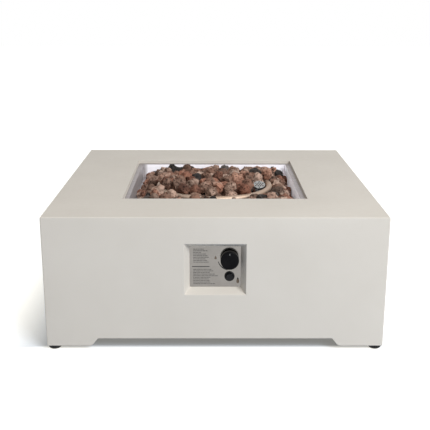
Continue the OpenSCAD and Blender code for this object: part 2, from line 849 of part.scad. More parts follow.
// A sheet cup, open below, with a field of holes in its top
module pilot_hood() {
    reach = hood_r - hood_t - hood_hole_r - hole_margin;
    row_step = hood_pitch * sqrt(3) / 2;
    rows = floor(reach / row_step);
    color("silver") hood_place() difference() {
        translate([0, 0, -hood_h]) cylinder(r = hood_r, h = hood_h);
        translate([0, 0, -hood_h - cut]) cylinder(r = hood_r - hood_t, h = hood_h - hood_t + cut);
        for (j = [-rows : rows], i = [-rows - 1 : rows + 1]) {
            x = (i + (j % 2 == 0 ? 0 : 0.5)) * hood_pitch;
            y = j * row_step;
            if (norm([x, y]) < reach)
                translate([x, y, -hood_t - cut]) cylinder(r = hood_hole_r, h = hood_t + 2 * cut);
        }
    }
}

// A leaning arm under the hood, with a foot on the pan's floor and a shelf round the probes
module pilot_bracket() {
    shelf_y = probe_y - ceramic_r - shelf_lip;
    shelf_half = probe_offset + ceramic_r + shelf_lip;
    arm_y = hood_y + (hood_z - shelf_z) * tan(hood_tilt);
    color("darkgray") difference() {
        union() {
            intersection() {
                hood_place() translate([-arm_w / 2, -arm_t / 2, -hood_t - 2 * arm_len])
                    cube([arm_w, arm_t, 2 * arm_len]);
                translate([hood_x - hood_r, hood_y - hood_r, pan_floor])
                    cube([2 * hood_r, 4 * hood_r, hood_z]);
            }
            translate([hood_x - arm_w / 2, arm_foot_y - arm_t, pan_floor])
                cube([arm_w, bracket_foot + arm_t, arm_t]);
            translate([hood_x - shelf_half, shelf_y, shelf_z]) cube([2 * shelf_half, arm_y - shelf_y, arm_t]);
        }
        probe_places() {
            translate([0, 0, shelf_z - cut]) cylinder(r = ceramic_r + hole_fit, h = arm_t + 2 * cut);
            translate([0, 0, shelf_z - cut]) cylinder(r = thermo_r + hole_fit, h = arm_t + 2 * cut);
        }
        translate([hood_x, arm_foot_y + arm_t + bracket_foot / 2, pan_floor - cut])
            cylinder(r = screw_r + hole_fit, h = arm_t + 2 * cut);
    }
}

module electrode_ceramic() {
    color("white") probe_places() {
        translate([0, 0, probe_under]) difference() {
            cylinder(r = ceramic_r, h = hood_z - hood_h - probe_under - probe_bare + electrode_rise);
            translate([0, 0, -cut]) cylinder(r = electrode_r + run_fit, h = hood_z);
        }
        union() {}
    }
}

module electrode_wire() {
    color("gray") probe_places() {
        translate([0, 0, probe_under])
            cylinder(r = electrode_r, h = hood_z - hood_h - probe_under + electrode_rise);
        union() {}
    }
}

module thermocouple() {
    color("gray") probe_places() {
        union() {}
        translate([0, 0, probe_under])
            cylinder(r = thermo_r, h = hood_z - hood_h - probe_under + thermo_rise);
    }
}

// Points on a smooth curve through a route's own points
function curve_point(p, i, t) =
    let (a = p[max(i - 1, 0)], b = p[i], c = p[i + 1], d = p[min(i + 2, len(p) - 1)])
    0.5 * (2 * b + (c - a) * t + (2 * a - 5 * b + 4 * c - d) * t * t + (3 * b - a - 3 * c + d) * t * t * t);
function curve(p, steps) =
    concat([for (i = [0 : len(p) - 2], s = [0 : steps - 1]) curve_point(p, i, s / steps)], [p[len(p) - 1]]);

function unit(v) = v / norm(v);
function heading(p, i) = unit(p[min(i + 1, len(p) - 1)] - p[max(i - 1, 0)]);
// A side direction that turns as little as it can along the path
function sides_along(p) =
    let (h0 = heading(p, 0), first = unit(cross(h0, abs(h0[2]) > 0.9 ? [1, 0, 0] : [0, 0, 1])))
    [for (i = 0, s = first; i < len(p);
        i = i + 1, s = i < len(p) ? let (h = heading(p, i)) unit(s - h * (s * h)) : s) s];

// A closed tube of radius r swept along the points p
module swept_tube(p, r, n) {
    sides = sides_along(p);
    points = [for (i = [0 : len(p) - 1], k = [0 : n - 1])
        let (h = heading(p, i), s = sides[i], u = cross(h, s))
        p[i] + r * (cos(360 * k / n) * s + sin(360 * k / n) * u)];
    last = (len(p) - 1) * n;
    walls = [for (i = [0 : len(p) - 2], k = [0 : n - 1])
        let (a = i * n + k, b = i * n + (k + 1) % n, c = a + n, d = b + n) each [[a, c, b], [b, c, d]]];
    start_cap = [for (k = [1 : n - 2]) [0, k, k + 1]];
    end_cap = [for (k = [1 : n - 2]) [last, last + k + 1, last + k]];
    polyhedron(points, concat(walls, start_cap, end_cap));
}

module thermocouple_lead() {
    color("chocolate") swept_tube(curve(thermo_route, lead_steps), thermo_lead_r, lead_sides);
}

module ignition_lead() {
    color("orangered") swept_tube(curve(ignition_route, lead_steps), ignition_lead_r, lead_sides);
}

// A strip welded under the pan, with two eyes that the leads run through
module lead_clip() {
    foot_half = clip_len / 2;
    color("dimgray") difference() {
        union() {
            translate([hood_x - foot_half, clip_y - foot_half, pan_under - bracket_t])
                cube([clip_len, clip_len, bracket_t]);
            translate([hood_x - bracket_t / 2, clip_y - foot_half, lead_run_z])
                cube([bracket_t, clip_len, pan_under - lead_run_z - cut]);
            translate([hood_x - probe_offset, clip_y - foot_half, lead_run_z - bracket_t / 2])
                cube([2 * probe_offset, clip_len, bracket_t]);
            for (s = [-1, 1]) facing_back(hood_x + s * probe_offset, clip_y - foot_half, lead_run_z)
                cylinder(r = clip_eye_r, h = clip_len);
        }
        facing_back(hood_x - probe_offset, clip_y - clip_len, lead_run_z)
            cylinder(r = ignition_lead_r + hole_fit, h = 2 * clip_len);
        facing_back(hood_x + probe_offset, clip_y - clip_len, lead_run_z)
            cylinder(r = thermo_lead_r + hole_fit, h = 2 * clip_len);
    }
}

// A rubber ring with a groove that sits on the edge of the hole in the control box
module lead_grommet() {
    profile = [
        [lead_hole_r - grommet_lip, -grommet_lip], [lead_hole_r + grommet_lip, -grommet_lip],
        [lead_hole_r + grommet_lip, 0], [lead_hole_r, 0], [lead_hole_r, box_t],
        [lead_hole_r + grommet_lip, box_t], [lead_hole_r + grommet_lip, box_t + grommet_lip],
        [lead_hole_r - grommet_lip, box_t + grommet_lip]
    ];
    color("black") facing_back(magnet_at, box_rear - box_t, lead_hole_z) rotate_extrude() polygon(profile);
}

// Valve

// The D-shaped section of the stem, along +Z, grown by a clearance
module stem_bar(len, grow) {
    r = stem_r + grow;
    intersection() {
        cylinder(r = r, h = len);
        translate([-2 * r, -stem_flat - grow, -cut]) cube([4 * r, 4 * r, len + 2 * cut]);
    }
}

module valve_body() {
    color("goldenrod") difference() {
        union() {
            translate([valve_x - valve_left, bonnet_rear, valve_z - valve_half])
                cube([valve_left + valve_right, valve_len, 2 * valve_half]);
            facing_back(valve_x, valve_rear - cut, valve_z) cylinder(r = spigot_r, h = spigot_len + cut);
        }
        facing_back(valve_x, bonnet_rear - cut, valve_z)
            cylinder(r = plug_r + run_fit, h = plug_rear - bonnet_rear + cut + run_fit);
        facing_back(valve_x, plug_rear - cut, valve_z) cylinder(r = passage_r, h = valve_len);
        translate([valve_x - valve_left - cut, plug_mid, valve_z]) rotate([0, 90, 0])
            cylinder(r = passage_r, h = valve_left);
        translate([valve_x - valve_left - cut, plug_mid, valve_z]) rotate([0, 90, 0])
            cylinder(r = jet_r + hole_fit, h = spigot_len + cut);
        facing_back(magnet_at, valve_rear - spigot_len, valve_z)
            cylinder(r = magnet_shank_r + hole_fit, h = spigot_len + cut);
        for (s = [-1, 1]) facing_back(valve_x + s * bonnet_screw_x, bonnet_rear - cut, valve_z)
            cylinder(r = screw_r + hole_fit, h = screw_bite + 2 * cut);
    }
}

// The turning plug, with a socket for the stem and a gas way from its side to its rear
module valve_plug() {
    color("silver") facing_back(valve_x, plug_front, valve_z) difference() {
        cylinder(r = plug_r, h = plug_len);
        translate([0, 0, -cut]) stem_bar(plug_socket + cut, run_fit);
        translate([0, 0, plug_socket + cut]) cylinder(r = plug_bore_r, h = plug_len);
    }
}

module valve_stem() {
    front = knob_front + knob_face_t + cut;
    rear = plug_front + stem_reach;
    color("lightgray") {
        facing_back(valve_x, front, valve_z) stem_bar(rear - front, 0);
        facing_back(valve_x, bonnet_rear + run_fit, valve_z) cylinder(r = collar_r, h = collar_t);
    }
}

// Points of a coil along +Y
function coil(x, y, z, r, len, turns) =
    [for (i = [0 : turns * coil_steps])
        let (a = 360 * i / coil_steps) [x + r * cos(a), y + len * i / (turns * coil_steps), z + r * sin(a)]];

module stem_spring() {
    start = bonnet_rear + run_fit + collar_t + spring_wire + run_fit;
    finish = plug_front - spring_wire - run_fit;
    color("gray")
        swept_tube(coil(valve_x, start, valve_z, spring_coil_r, finish - start, spring_turns),
            spring_wire, coil_sides);
}

module valve_bonnet() {
    color("darkgoldenrod") facing_back(valve_x, plate_rear, valve_z) difference() {
        intersection() {
            cylinder(r = bonnet_r, h = bonnet_t);
            translate([-bonnet_r, -valve_half, 0]) cube([2 * bonnet_r, 2 * valve_half, bonnet_t]);
        }
        translate([0, 0, -cut]) cylinder(r = stem_r + run_fit, h = bonnet_t + 2 * cut);
        for (s = [-1, 1]) translate([s * bonnet_screw_x, 0, -cut])
            cylinder(r = screw_r + hole_fit, h = bonnet_t + 2 * cut);
    }
}

// Screws from the plate's front, through plate and bonnet into the valve
module bonnet_screws() {
    color("silver") for (s = [-1, 1])
        translate([valve_x + s * bonnet_screw_x, panel_y, valve_z]) rotate([90, 0, 0])
            screw(plate_t + bonnet_t + screw_bite);
}

module safety_magnet() {
    color("peru") facing_back(magnet_at, valve_rear, valve_z) {
        translate([0, 0, -spigot_len + cut]) cylinder(r = magnet_shank_r, h = spigot_len);
        cylinder(r = magnet_r, h = magnet_len);
        translate([0, 0, magnet_len]) hexagon(magnet_nut_af, magnet_nut_len);
    }
}

// A brass elbow: a shank into the valve's side and a threaded end that points down for the hose
module gas_inlet() {
    chamfer = 1;
    color("goldenrod") difference() {
        union() {
            translate([elbow_x - elbow_side / 2, plug_mid - elbow_side / 2, elbow_under])
                cube([elbow_side, elbow_side, elbow_top - elbow_under]);
            translate([elbow_x, plug_mid, valve_z]) rotate([0, 90, 0])
                cylinder(r = jet_r, h = elbow_side / 2 + spigot_len - cut);
            translate([elbow_x, plug_mid, elbow_under - inlet_len + chamfer])
                cylinder(r = inlet_r, h = inlet_len);
            translate([elbow_x, plug_mid, elbow_under - inlet_len])
                cylinder(r1 = inlet_r - chamfer, r2 = inlet_r, h = chamfer);
        }
        translate([elbow_x, plug_mid, elbow_under - inlet_len - cut])
            cylinder(r = passage_r, h = valve_z - elbow_under + inlet_len + cut);
        translate([elbow_x, plug_mid, valve_z]) rotate([0, 90, 0])
            cylinder(r = elbow_bore_r, h = elbow_side + spigot_len);
    }
}

// Controls

module control_plate() {
    color("lightsteelblue") difference() {
        translate([-plate_w / 2, panel_y, recess_z - plate_h / 2]) cube([plate_w, plate_t, plate_h]);
        facing_back(valve_x, panel_y - cut, valve_z) cylinder(r = stem_r + cut, h = plate_t + 2 * cut);
        for (s = [-1, 1]) facing_back(valve_x + s * bonnet_screw_x, panel_y - cut, valve_z)
            cylinder(r = screw_r + hole_fit, h = plate_t + 2 * cut);
        facing_back(valve_x, panel_y - cut, igniter_z)
            cylinder(r = igniter_r + hole_fit, h = plate_t + 2 * cut);
        plate_screw_places() translate([0, 0, -box_t - plate_t - cut])
            cylinder(r = screw_r + hole_fit, h = plate_t + 2 * cut);
    }
}

// A folded sheet cover, open below, with a flange down each side
module control_box() {
    low = recess_z - box_half_h;
    color("silver") difference() {
        union() {
            translate([-box_w / 2, plate_rear, low]) cube([box_w, box_depth, 2 * box_half_h]);
            translate([-plate_w / 2, plate_rear, low]) cube([plate_w, box_t, 2 * box_half_h]);
        }
        translate([-box_w / 2 + box_t, plate_rear - cut, low - cut])
            cube([box_w - 2 * box_t, box_depth - box_t + cut, 2 * box_half_h - box_t + cut]);
        facing_back(magnet_at, box_rear - box_t - cut, lead_hole_z)
            cylinder(r = lead_hole_r + run_fit, h = box_t + 2 * cut);
        plate_screw_places() translate([0, 0, -box_t - cut])
            cylinder(r = screw_r + hole_fit, h = box_t + 2 * cut);
    }
}

module plate_screws() {
    color("silver") plate_screw_places() screw(box_t + plate_t + screw_bite);
}

// A hollow round knob with a hub for the stem, a rounded rim and a groove round its face
module control_knob() {
    rim_r = 2.5;
    rim = arc(knob_r - rim_r, rim_r, rim_r, 270, 360);
    outline = concat([[0, 0]], rim, [[knob_r, knob_len], [0, knob_len]]);
    color("black") facing_back(valve_x, knob_front, valve_z) difference() {
        rotate_extrude() polygon(outline);
        translate([0, 0, knob_face_t]) difference() {
            cylinder(r = knob_r - knob_wall, h = knob_len);
            cylinder(r = hub_r, h = knob_len);
        }
        translate([0, 0, knob_face_t + cut / 2]) stem_bar(knob_len, run_fit);
        pointer_shape(hole_fit);
    }
}

// The white mark let into the knob's face, near its top edge
module pointer_shape(grow) {
    mark_w = 2.6 + 2 * grow;
    mark_l = 4.6 + 2 * grow;
    mark_t = 0.8;
    mark_edge = 4;
    lift = 0.1;
    translate([-mark_w / 2, mark_edge - knob_r - grow, -lift]) cube([mark_w, mark_l, mark_t + lift]);
}

module knob_pointer() {
    color("white") facing_back(valve_x, knob_front, valve_z) pointer_shape(0);
}

module igniter_body() {
    color("black") facing_back(valve_x, bezel_front, igniter_z) difference() {
        union() {
            cylinder(r = bezel_r, h = bezel_t);
            cylinder(r = igniter_r, h = igniter_rear - bezel_front);
        }
        translate([0, 0, -cut]) cylinder(r = button_r + run_fit, h = button_well - bezel_front + cut);
        translate([0, 0, -cut]) cylinder(r = battery_r + hole_fit, h = battery_rear - bezel_front + cut);
    }
}

module igniter_nut() {
    color("dimgray") facing_back(valve_x, plate_rear, igniter_z) difference() {
        hexagon(igniter_nut_r * sqrt(3), igniter_nut_t);
        translate([0, 0, -cut]) cylinder(r = igniter_r + run_fit, h = igniter_nut_t + 2 * cut);
    }
}

module igniter_button() {
    rim_r = 1.5;
    rim = arc(button_r - rim_r, rim_r, rim_r, 270, 360);
    color("black") facing_back(valve_x, button_front, igniter_z)
        rotate_extrude() polygon(concat([[0, 0]], rim, [[button_r, button_len], [0, button_len]]));
}

module igniter_spring() {
    start = button_rear + contact_wire + run_fit;
    finish = battery_front - contact_wire - run_fit;
    color("gray") swept_tube(
        coil(valve_x, start, igniter_z, contact_coil_r, finish - start, contact_turns),
        contact_wire, coil_sides);
}

module igniter_battery() {
    cap_r = 2;
    cap_h = 1.5;
    color("steelblue") facing_back(valve_x, battery_front, igniter_z) {
        translate([0, 0, cap_h]) cylinder(r = battery_r, h = battery_len - cap_h);
        cylinder(r = cap_r, h = battery_len);
    }
}

// A spade block on the igniter's left side that the ignition lead is pushed onto
module igniter_terminal() {
    half = terminal_side / 2;
    color("silver") difference() {
        translate([terminal_x, terminal_y - half, igniter_z - half])
            cube([terminal_side, terminal_side, terminal_side]);
        facing_back(valve_x, bezel_front, igniter_z)
            cylinder(r = igniter_r + hole_fit, h = igniter_rear - bezel_front);
    }
}

// Lava rock

// Uprights that the lower rocks keep clear of: the brackets, the inlet's nut and the pilot
function low_posts() = concat(
    [for (a = bracket_angles) [ring_r * cos(a), ring_r * sin(a), norm([bracket_w / 2, bracket_foot])]],
    [[valve_x, inlet_pipe_y, lock_nut_af / sqrt(3) + rock_clear]],
    [[hood_x, arm_foot_y + bracket_foot / 2, (bracket_foot + arm_w) / 2]]
);
// The upright that all rocks keep clear of: the pilot hood
function tall_posts() = [[hood_x, hood_y + 2 * rock_clear, hood_r + 2 * rock_clear]];
function is_low(z) = z < ring_z + ring_tube_r;

function largest(v) = len(v) == 0 ? -1e6 : max(v);

// Height at which a ball of radius r comes to rest when it is dropped at x, y
function rest_height(x, y, r, rocks) = largest(concat(
    [pan_floor + rock_clear / 4 + rock_overlap * r],
    [for (q = rocks)
        let (d = norm([q[0] - x, q[1] - y]), s = rock_overlap * (r + q[3]))
        if (d < s) q[2] + sqrt(s * s - d * d)]
));

function ring_distance(x, y, z) = norm([norm([x, y]) - ring_r, z - ring_z]);
function touches_ring(x, y, z, r) = ring_distance(x, y, z) < rock_overlap * r + ring_tube_r + rock_gap;
function on_ring(x, y, r) =
    let (d = norm([x, y]) - ring_r, s = rock_overlap * r + ring_tube_r + rock_gap)
    ring_z + sqrt(max(0, s * s - d * d));
function in_bare_arc(x, y) =
    let (a = (atan2(y, x) + 360) % 360)
    len([for (b = ring_bare_arcs) if ((a > b[0] && a < b[1]) || a + 360 < b[1]) b]) > 0;

function near_post(x, y, r, posts) =
    len([for (p = posts) if (norm([p[0] - x, p[1] - y]) < rock_overlap * r + p[2] + rock_gap) p]) > 0;

// Highest place of a rock's centre: the heap falls towards the pan's walls, and lies low before the hood
function heap_top(x, y) = table_h + min(
    heap_rise,
    heap_slope * (pan_half - abs(y)) - heap_sink,
    heap_side_slope * (pan_half + x) - heap_sink_left,
    heap_side_slope * (pan_half - x) - heap_sink_right
);
function sight_top(x, y, r) =
    abs(x - hood_x) < hood_r + r && y < hood_y
        ? hood_z - sight_drop + (hood_y - y) * sight_slope
        : table_h + heap_rise;
function heap_limit(x, y, r) = min(heap_top(x, y), sight_top(x, y, r)) - rock_high * r;

// A rock's place at x, y, or an empty list where it has none
function settle(x, y, r, rocks) =
    let (
        low = rest_height(x, y, r, rocks),
        caught = touches_ring(x, y, low, r),
        z = caught ? max(low, on_ring(x, y, r)) : low,
        barred = near_post(x, y, r, tall_posts()) || (caught && in_bare_arc(x, y))
            || (is_low(z) && near_post(x, y, r, low_posts())) || z > heap_limit(x, y, r)
    )
    barred ? [] : [x, y, z, r];

function lowest(places) =
    len(places) == 0 ? [] : let (z = min([for (p = places) p[2]])) [for (p = places) if (p[2] == z) p][0];

// All rocks as x, y, z, radius, dropped one after another at the lowest of several tries
function rock_places() =
    let (dice = rands(0, 1, rock_count * (2 * rock_tries + 1), rock_seed), step = 2 * rock_tries + 1)
    [for (n = 0, rocks = [], new = []; n <= rock_count;
        r = n < rock_count ? rock_r_min + (rock_r_max - rock_r_min) * pow(dice[n * step], rock_lean) : 1,
        room = pan_half - rock_overlap * r - rock_gap,
        tries = n < rock_count ? [for (t = [0 : rock_tries - 1])
            let (
                x = room * (2 * dice[n * step + 1 + 2 * t] - 1),
                y = room * (2 * dice[n * step + 2 + 2 * t] - 1),
                p = settle(x, y, r, rocks)
            )
            if (len(p) > 0) p] : [],
        new = lowest(tries),
        rocks = len(new) > 0 ? concat(rocks, [new]) : rocks,
        n = n + 1) if (n == rock_count) each rocks];

// Flat limits round a rock, each as an outward direction and a distance from its centre
function rock_limits(c, r, rocks) =
    let (
        p = [c[0], c[1], c[2]],
        a0 = atan2(c[1], c[0]),
        beside = [for (q = rocks)
            let (v = [q[0], q[1], q[2]] - p, d = norm(v))
            if (d > 0 && d < (r + q[3]) * rock_high)
                [v / d, (d * d + r * r - q[3] * q[3]) / (2 * d) - rock_gap / 2]],
        walls = [for (s = [-1, 1]) each [
            [[s, 0, 0], pan_half - s * c[0] - rock_gap], [[0, s, 0], pan_half - s * c[1] - rock_gap]]],
        reach = norm([c[0], c[1]]) > ring_r ? 0 : ring_samples,
        ring = [for (i = [-reach : reach])
            let (
                a = a0 + i * ring_sample,
                along = [-sin(a), cos(a), 0],
                v = [ring_r * cos(a), ring_r * sin(a), ring_z] - p,
                across = v - along * (v * along),
                d = norm(across)
            )
            if (d < 2 * r + ring_tube_r) [across / d, d - ring_tube_r - rock_gap]],
        posts = [for (q = concat(tall_posts(), is_low(c[2]) ? low_posts() : []))
            let (v = [q[0] - c[0], q[1] - c[1], 0], d = norm(v))
            if (d < 2 * r + q[2]) [v / d, d - q[2] - rock_gap]]
    )
    concat(beside, walls, ring, posts, [[[0, 0, -1], c[2] - pan_floor - rock_gap]]);

// Directions from a rock's centre to its corners: two poles and rings of corners between them
rock_ways = concat(
    [[0, 0, -1]],
    [for (j = [0 : len(rock_rings) - 1], k = [0 : rock_sides - 1])
        let (a = 360 * (k + j / 2) / rock_sides, e = rock_rings[j])
        [cos(e) * cos(a), cos(e) * sin(a), sin(e)]],
    [[0, 0, 1]]
);
rock_corners = len(rock_ways);

function turned(v, a, b) =
    let (x = v[0], y = v[1] * cos(b) - v[2] * sin(b), z = v[1] * sin(b) + v[2] * cos(b))
    [x * cos(a) - y * sin(a), x * sin(a) + y * cos(a), z];

// Corners of a rock: each stands out by chance, or reaches the neighbour that it would meet
function rock_points(c, rocks, seed) =
    let (
        dice = rands(0, 1, rock_corners + 2, seed),
        limits = rock_limits(c, c[3], rocks)
    )
    [for (k = [0 : rock_corners - 1])
        let (
            way = turned(rock_ways[k], 360 * dice[rock_corners], rock_turn * (dice[rock_corners + 1] - 0.5)),
            free = c[3] * (rock_low + (rock_high - rock_low) * dice[k]),
            stops = [for (l = limits) let (f = way * l[0]) if (f > least_facing) l[1] / f],
            stop = min(concat([2 * c[3]], stops)),
            reach = stop < c[3] * rock_meet ? stop : free
        )
        [c[0], c[1], c[2]] + reach * way];

// Faces of the rock whose first corner has number o
function rock_faces(o) =
    let (n = rock_sides, m = len(rock_rings), top = o + rock_corners - 1)
    concat(
        [for (k = [0 : n - 1]) [o, o + 1 + k, o + 1 + (k + 1) % n]],
        [for (j = [0 : m - 2], k = [0 : n - 1])
            let (a = o + 1 + j * n + k, b = o + 1 + j * n + (k + 1) % n, c = a + n, d = b + n)
            each [[a, c, b], [b, c, d]]],
        [for (k = [0 : n - 1]) let (s = o + 1 + (m - 1) * n) [top, s + (k + 1) % n, s + k]]
    );

// The kind of rock number i: 0 brown, 1 rust, 2 charcoal
function rock_kind(c, i) =
    let (d = rands(0, 1, 1, rock_seed + kind_seed + i)[0])
    norm([c[0] - dark_spot[0], c[1] - dark_spot[1]]) < dark_reach && c[2] > ring_z - ring_tube_r ? 2
    : d < dark_share ? 2 : d < rust_share ? 1 : 0;

module lava_rocks(kind) {
    rocks = rock_places();
    mine = [for (i = [0 : len(rocks) - 1]) if (rock_kind(rocks[i], i) == kind) i];
    polyhedron(
        [for (i = mine) each rock_points(rocks[i], rocks, rock_seed + shape_seed + i)],
        [for (i = [0 : len(mine) - 1]) each rock_faces(i * rock_corners)]
    );
}

module lava_rocks_brown() {
    color("rosybrown") lava_rocks(0);
}

module lava_rocks_rust() {
    color("sienna") lava_rocks(1);
}

module lava_rocks_charcoal() {
    color("dimgray") lava_rocks(2);
}

body_shell();
recess_frame();
foot_inserts();
foot_pad(-1, -1);  // foot_pad_fl
foot_pad(1, -1);  // foot_pad_fr
foot_pad(-1, 1);  // foot_pad_rl
foot_pad(1, 1);  // foot_pad_rr
foot_stud(-1, -1);  // foot_stud_fl
foot_stud(1, -1);  // foot_stud_fr
foot_stud(-1, 1);  // foot_stud_rl
foot_stud(1, 1);  // foot_stud_rr
burner_pan();
pan_screws();
burner_ring();
ring_brackets();
bracket_rivets();
lock_nuts();
air_mixer();
gas_jet();
gas_tube();
tube_nuts();
pilot_hood();
pilot_bracket();
electrode_ceramic();
electrode_wire();
thermocouple();
thermocouple_lead();
ignition_lead();
lead_clip();
lead_grommet();
valve_body();
valve_plug();
valve_stem();
stem_spring();
valve_bonnet();
bonnet_screws();
safety_magnet();
gas_inlet();
control_plate();
control_box();
plate_screws();
control_knob();
knob_pointer();
igniter_body();
igniter_nut();
igniter_button();
igniter_spring();
igniter_battery();
igniter_terminal();
lava_rocks_brown();
lava_rocks_rust();
lava_rocks_charcoal();
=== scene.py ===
import json
import math
import random

import bmesh
import bpy
from mathutils import Matrix, Vector


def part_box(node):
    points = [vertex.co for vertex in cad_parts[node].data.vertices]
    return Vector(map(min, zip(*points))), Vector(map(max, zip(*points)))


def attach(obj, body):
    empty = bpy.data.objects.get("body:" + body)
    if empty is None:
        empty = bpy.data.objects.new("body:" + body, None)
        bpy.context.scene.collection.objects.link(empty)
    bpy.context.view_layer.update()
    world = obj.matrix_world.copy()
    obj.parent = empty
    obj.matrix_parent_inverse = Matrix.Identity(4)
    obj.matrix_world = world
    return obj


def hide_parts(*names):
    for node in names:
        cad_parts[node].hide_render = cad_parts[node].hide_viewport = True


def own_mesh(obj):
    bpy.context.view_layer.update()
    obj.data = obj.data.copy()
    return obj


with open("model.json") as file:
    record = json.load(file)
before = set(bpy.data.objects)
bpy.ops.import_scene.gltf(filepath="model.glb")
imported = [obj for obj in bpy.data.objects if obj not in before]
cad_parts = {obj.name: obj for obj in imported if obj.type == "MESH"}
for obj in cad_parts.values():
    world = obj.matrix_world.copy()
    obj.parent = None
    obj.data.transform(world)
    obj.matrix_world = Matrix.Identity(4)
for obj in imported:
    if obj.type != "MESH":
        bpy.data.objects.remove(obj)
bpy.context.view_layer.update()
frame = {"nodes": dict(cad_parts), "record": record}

# Table shell: one hollow casting of light cement, with a frame bonded behind its control recess.
# The joint is filled, the edges are eased by hand, and all of it is sprayed with matt cream paint.
mm = 0.001
shell_ease = 1.2 * mm
weld_gap = 0.001 * mm
flat_angle = math.radians(0.5)
sharp_angle = math.radians(30)
homes = {node: body for body, group in frame["record"]["behaviour"]["bodies"].items() for node in group}


def add(tree, kind, inputs=None, **settings):
    """Adds a node to a tree; each input is a value or the socket that feeds it."""
    node = tree.nodes.new(kind)
    for setting, value in settings.items():
        setattr(node, setting, value)
    for key, value in (inputs or {}).items():
        socket = node.inputs[key]
        if isinstance(value, bpy.types.NodeSocket):
            tree.links.new(value, socket)
        else:
            socket.default_value = value
    return node


def speckle(tree, scale, detail=3.0, stretch=(1, 1, 1)):
    """A cloudy noise that is fixed to the object; stretch draws it out into streaks."""
    coords = add(tree, "ShaderNodeTexCoord").outputs["Object"]
    drawn = add(tree, "ShaderNodeMapping", {"Vector": coords, "Scale": stretch}).outputs[0]
    return add(tree, "ShaderNodeTexNoise", {"Vector": drawn, "Scale": scale, "Detail": detail}).outputs[0]


def ramp(tree, factor, *stops):
    """Colours through (place, colour) stops, in rising order."""
    node = add(tree, "ShaderNodeValToRGB", {"Fac": factor})
    elements = node.color_ramp.elements
    elements[0].position, elements[1].position = stops[0][0], stops[-1][0]
    for spot, _ in stops[1:-1]:
        elements.new(spot)
    for element, (_, colour) in zip(elements, stops):
        element.color = (*colour, 1)
    return node.outputs["Color"]


def between(tree, factor, low, high):
    """A number from low to high, over a noise's usual spread."""
    span = {"Value": factor, "From Min": 0.3, "From Max": 0.7, "To Min": low, "To Max": high}
    return add(tree, "ShaderNodeMapRange", span).outputs[0]


def relief(tree, height, depth):
    """A surface relief of that depth for a shader's normal."""
    return add(tree, "ShaderNodeBump", {"Height": height, "Distance": depth}).outputs[0]


def blank(name, **constants):
    """A new material with constants on its shader, as the material, its tree and the shader."""
    material = bpy.data.materials.new(name)
    material.use_nodes = True
    shader = material.node_tree.nodes["Principled BSDF"]
    for key, value in constants.items():
        shader.inputs[key.replace("_", " ")].default_value = value
    return material, material.node_tree, shader


def feed(tree, shader, sockets):
    """Links patterns to a shader's inputs."""
    for key, socket in sockets.items():
        tree.links.new(socket, shader.inputs[key])


def merged(node):
    """A copy of a CAD node's mesh with its loose triangles joined into whole faces."""
    mesh = frame["nodes"][node].data.copy()
    work = bmesh.new()
    work.from_mesh(mesh)
    bmesh.ops.remove_doubles(work, verts=work.verts, dist=weld_gap)
    bmesh.ops.dissolve_limit(work, angle_limit=flat_angle, verts=work.verts, edges=work.edges)
    work.to_mesh(mesh)
    work.free()
    mesh.materials.clear()
    if "custom_normal" in mesh.attributes:
        mesh.attributes.remove(mesh.attributes["custom_normal"])
    mesh.shade_smooth()
    return mesh


def rough_object(mesh):
    """A passing object that carries modifiers until its mesh is settled."""
    rough = bpy.data.objects.new("rough", mesh)
    bpy.context.scene.collection.objects.link(rough)
    return rough


def settled(rough, material):
    """The plain mesh of an object with live modifiers, which is then removed."""
    graph = bpy.context.evaluated_depsgraph_get()
    mesh = bpy.data.meshes.new_from_object(rough.evaluated_get(graph), depsgraph=graph)
    bpy.data.objects.remove(rough)
    mesh.materials.clear()
    mesh.materials.append(material)
    return mesh


def eased(node, width, material, bonded=None):
    """A copy of a CAD node, with any that is bonded to it, whose sharp edges are broken by a small round."""
    rough = rough_object(merged(node))
    if bonded:
        other = rough_object(merged(bonded))
        bond = rough.modifiers.new("bond", "BOOLEAN")
        bond.operation = "UNION"
        bond.object = other
    bevel = rough.modifiers.new("ease", "BEVEL")
    bevel.width = width
    bevel.segments = 2
    bevel.limit_method = "ANGLE"
    bevel.angle_limit = sharp_angle
    bevel.use_clamp_overlap = False
    bevel.harden_normals = True
    mesh = settled(rough, material)
    if bonded:
        bpy.data.objects.remove(other)
    return mesh


def place(name, mesh, *nodes, on=None):
    """Sets a piece in place of CAD nodes, or on one: it rides on their body, and the nodes are hidden."""
    piece = bpy.data.objects.new(name, mesh)
    bpy.context.scene.collection.objects.link(piece)
    carrier = on or nodes[0]
    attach(piece, homes[carrier])
    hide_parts(*nodes)
    return piece


cream_paint, tree, shader = blank("cream_paint", IOR=1.45)
feed(tree, shader, {
    "Base Color": ramp(tree, speckle(tree, 5), (0.32, (0.640, 0.605, 0.550)), (0.68, (0.668, 0.634, 0.580))),
    "Roughness": between(tree, speckle(tree, 70), 0.48, 0.60),
    "Normal": relief(tree, speckle(tree, 380, 4), 0.10 * mm),
})
shell_mesh = eased("body_shell", shell_ease, cream_paint, bonded="recess_frame")
place("table_shell", shell_mesh, "body_shell", "recess_frame")

# Levelling feet: a zinc plated stud with a rolled thread, which screws into an insert cast in each leg.
# A black plastic pad is moulded round the stud's disc head and turns on it.
foot_corners = ("fl", "fr", "rl", "rr")
pad_flat_r = 10 * mm
pad_side = 2.5 * mm
pad_rim = 0.8 * mm
pad_neck_r = 5.3 * mm
pad_seat_r = 8.3 * mm
pad_seat_low = 3.35 * mm
pad_seat_high = 8.15 * mm


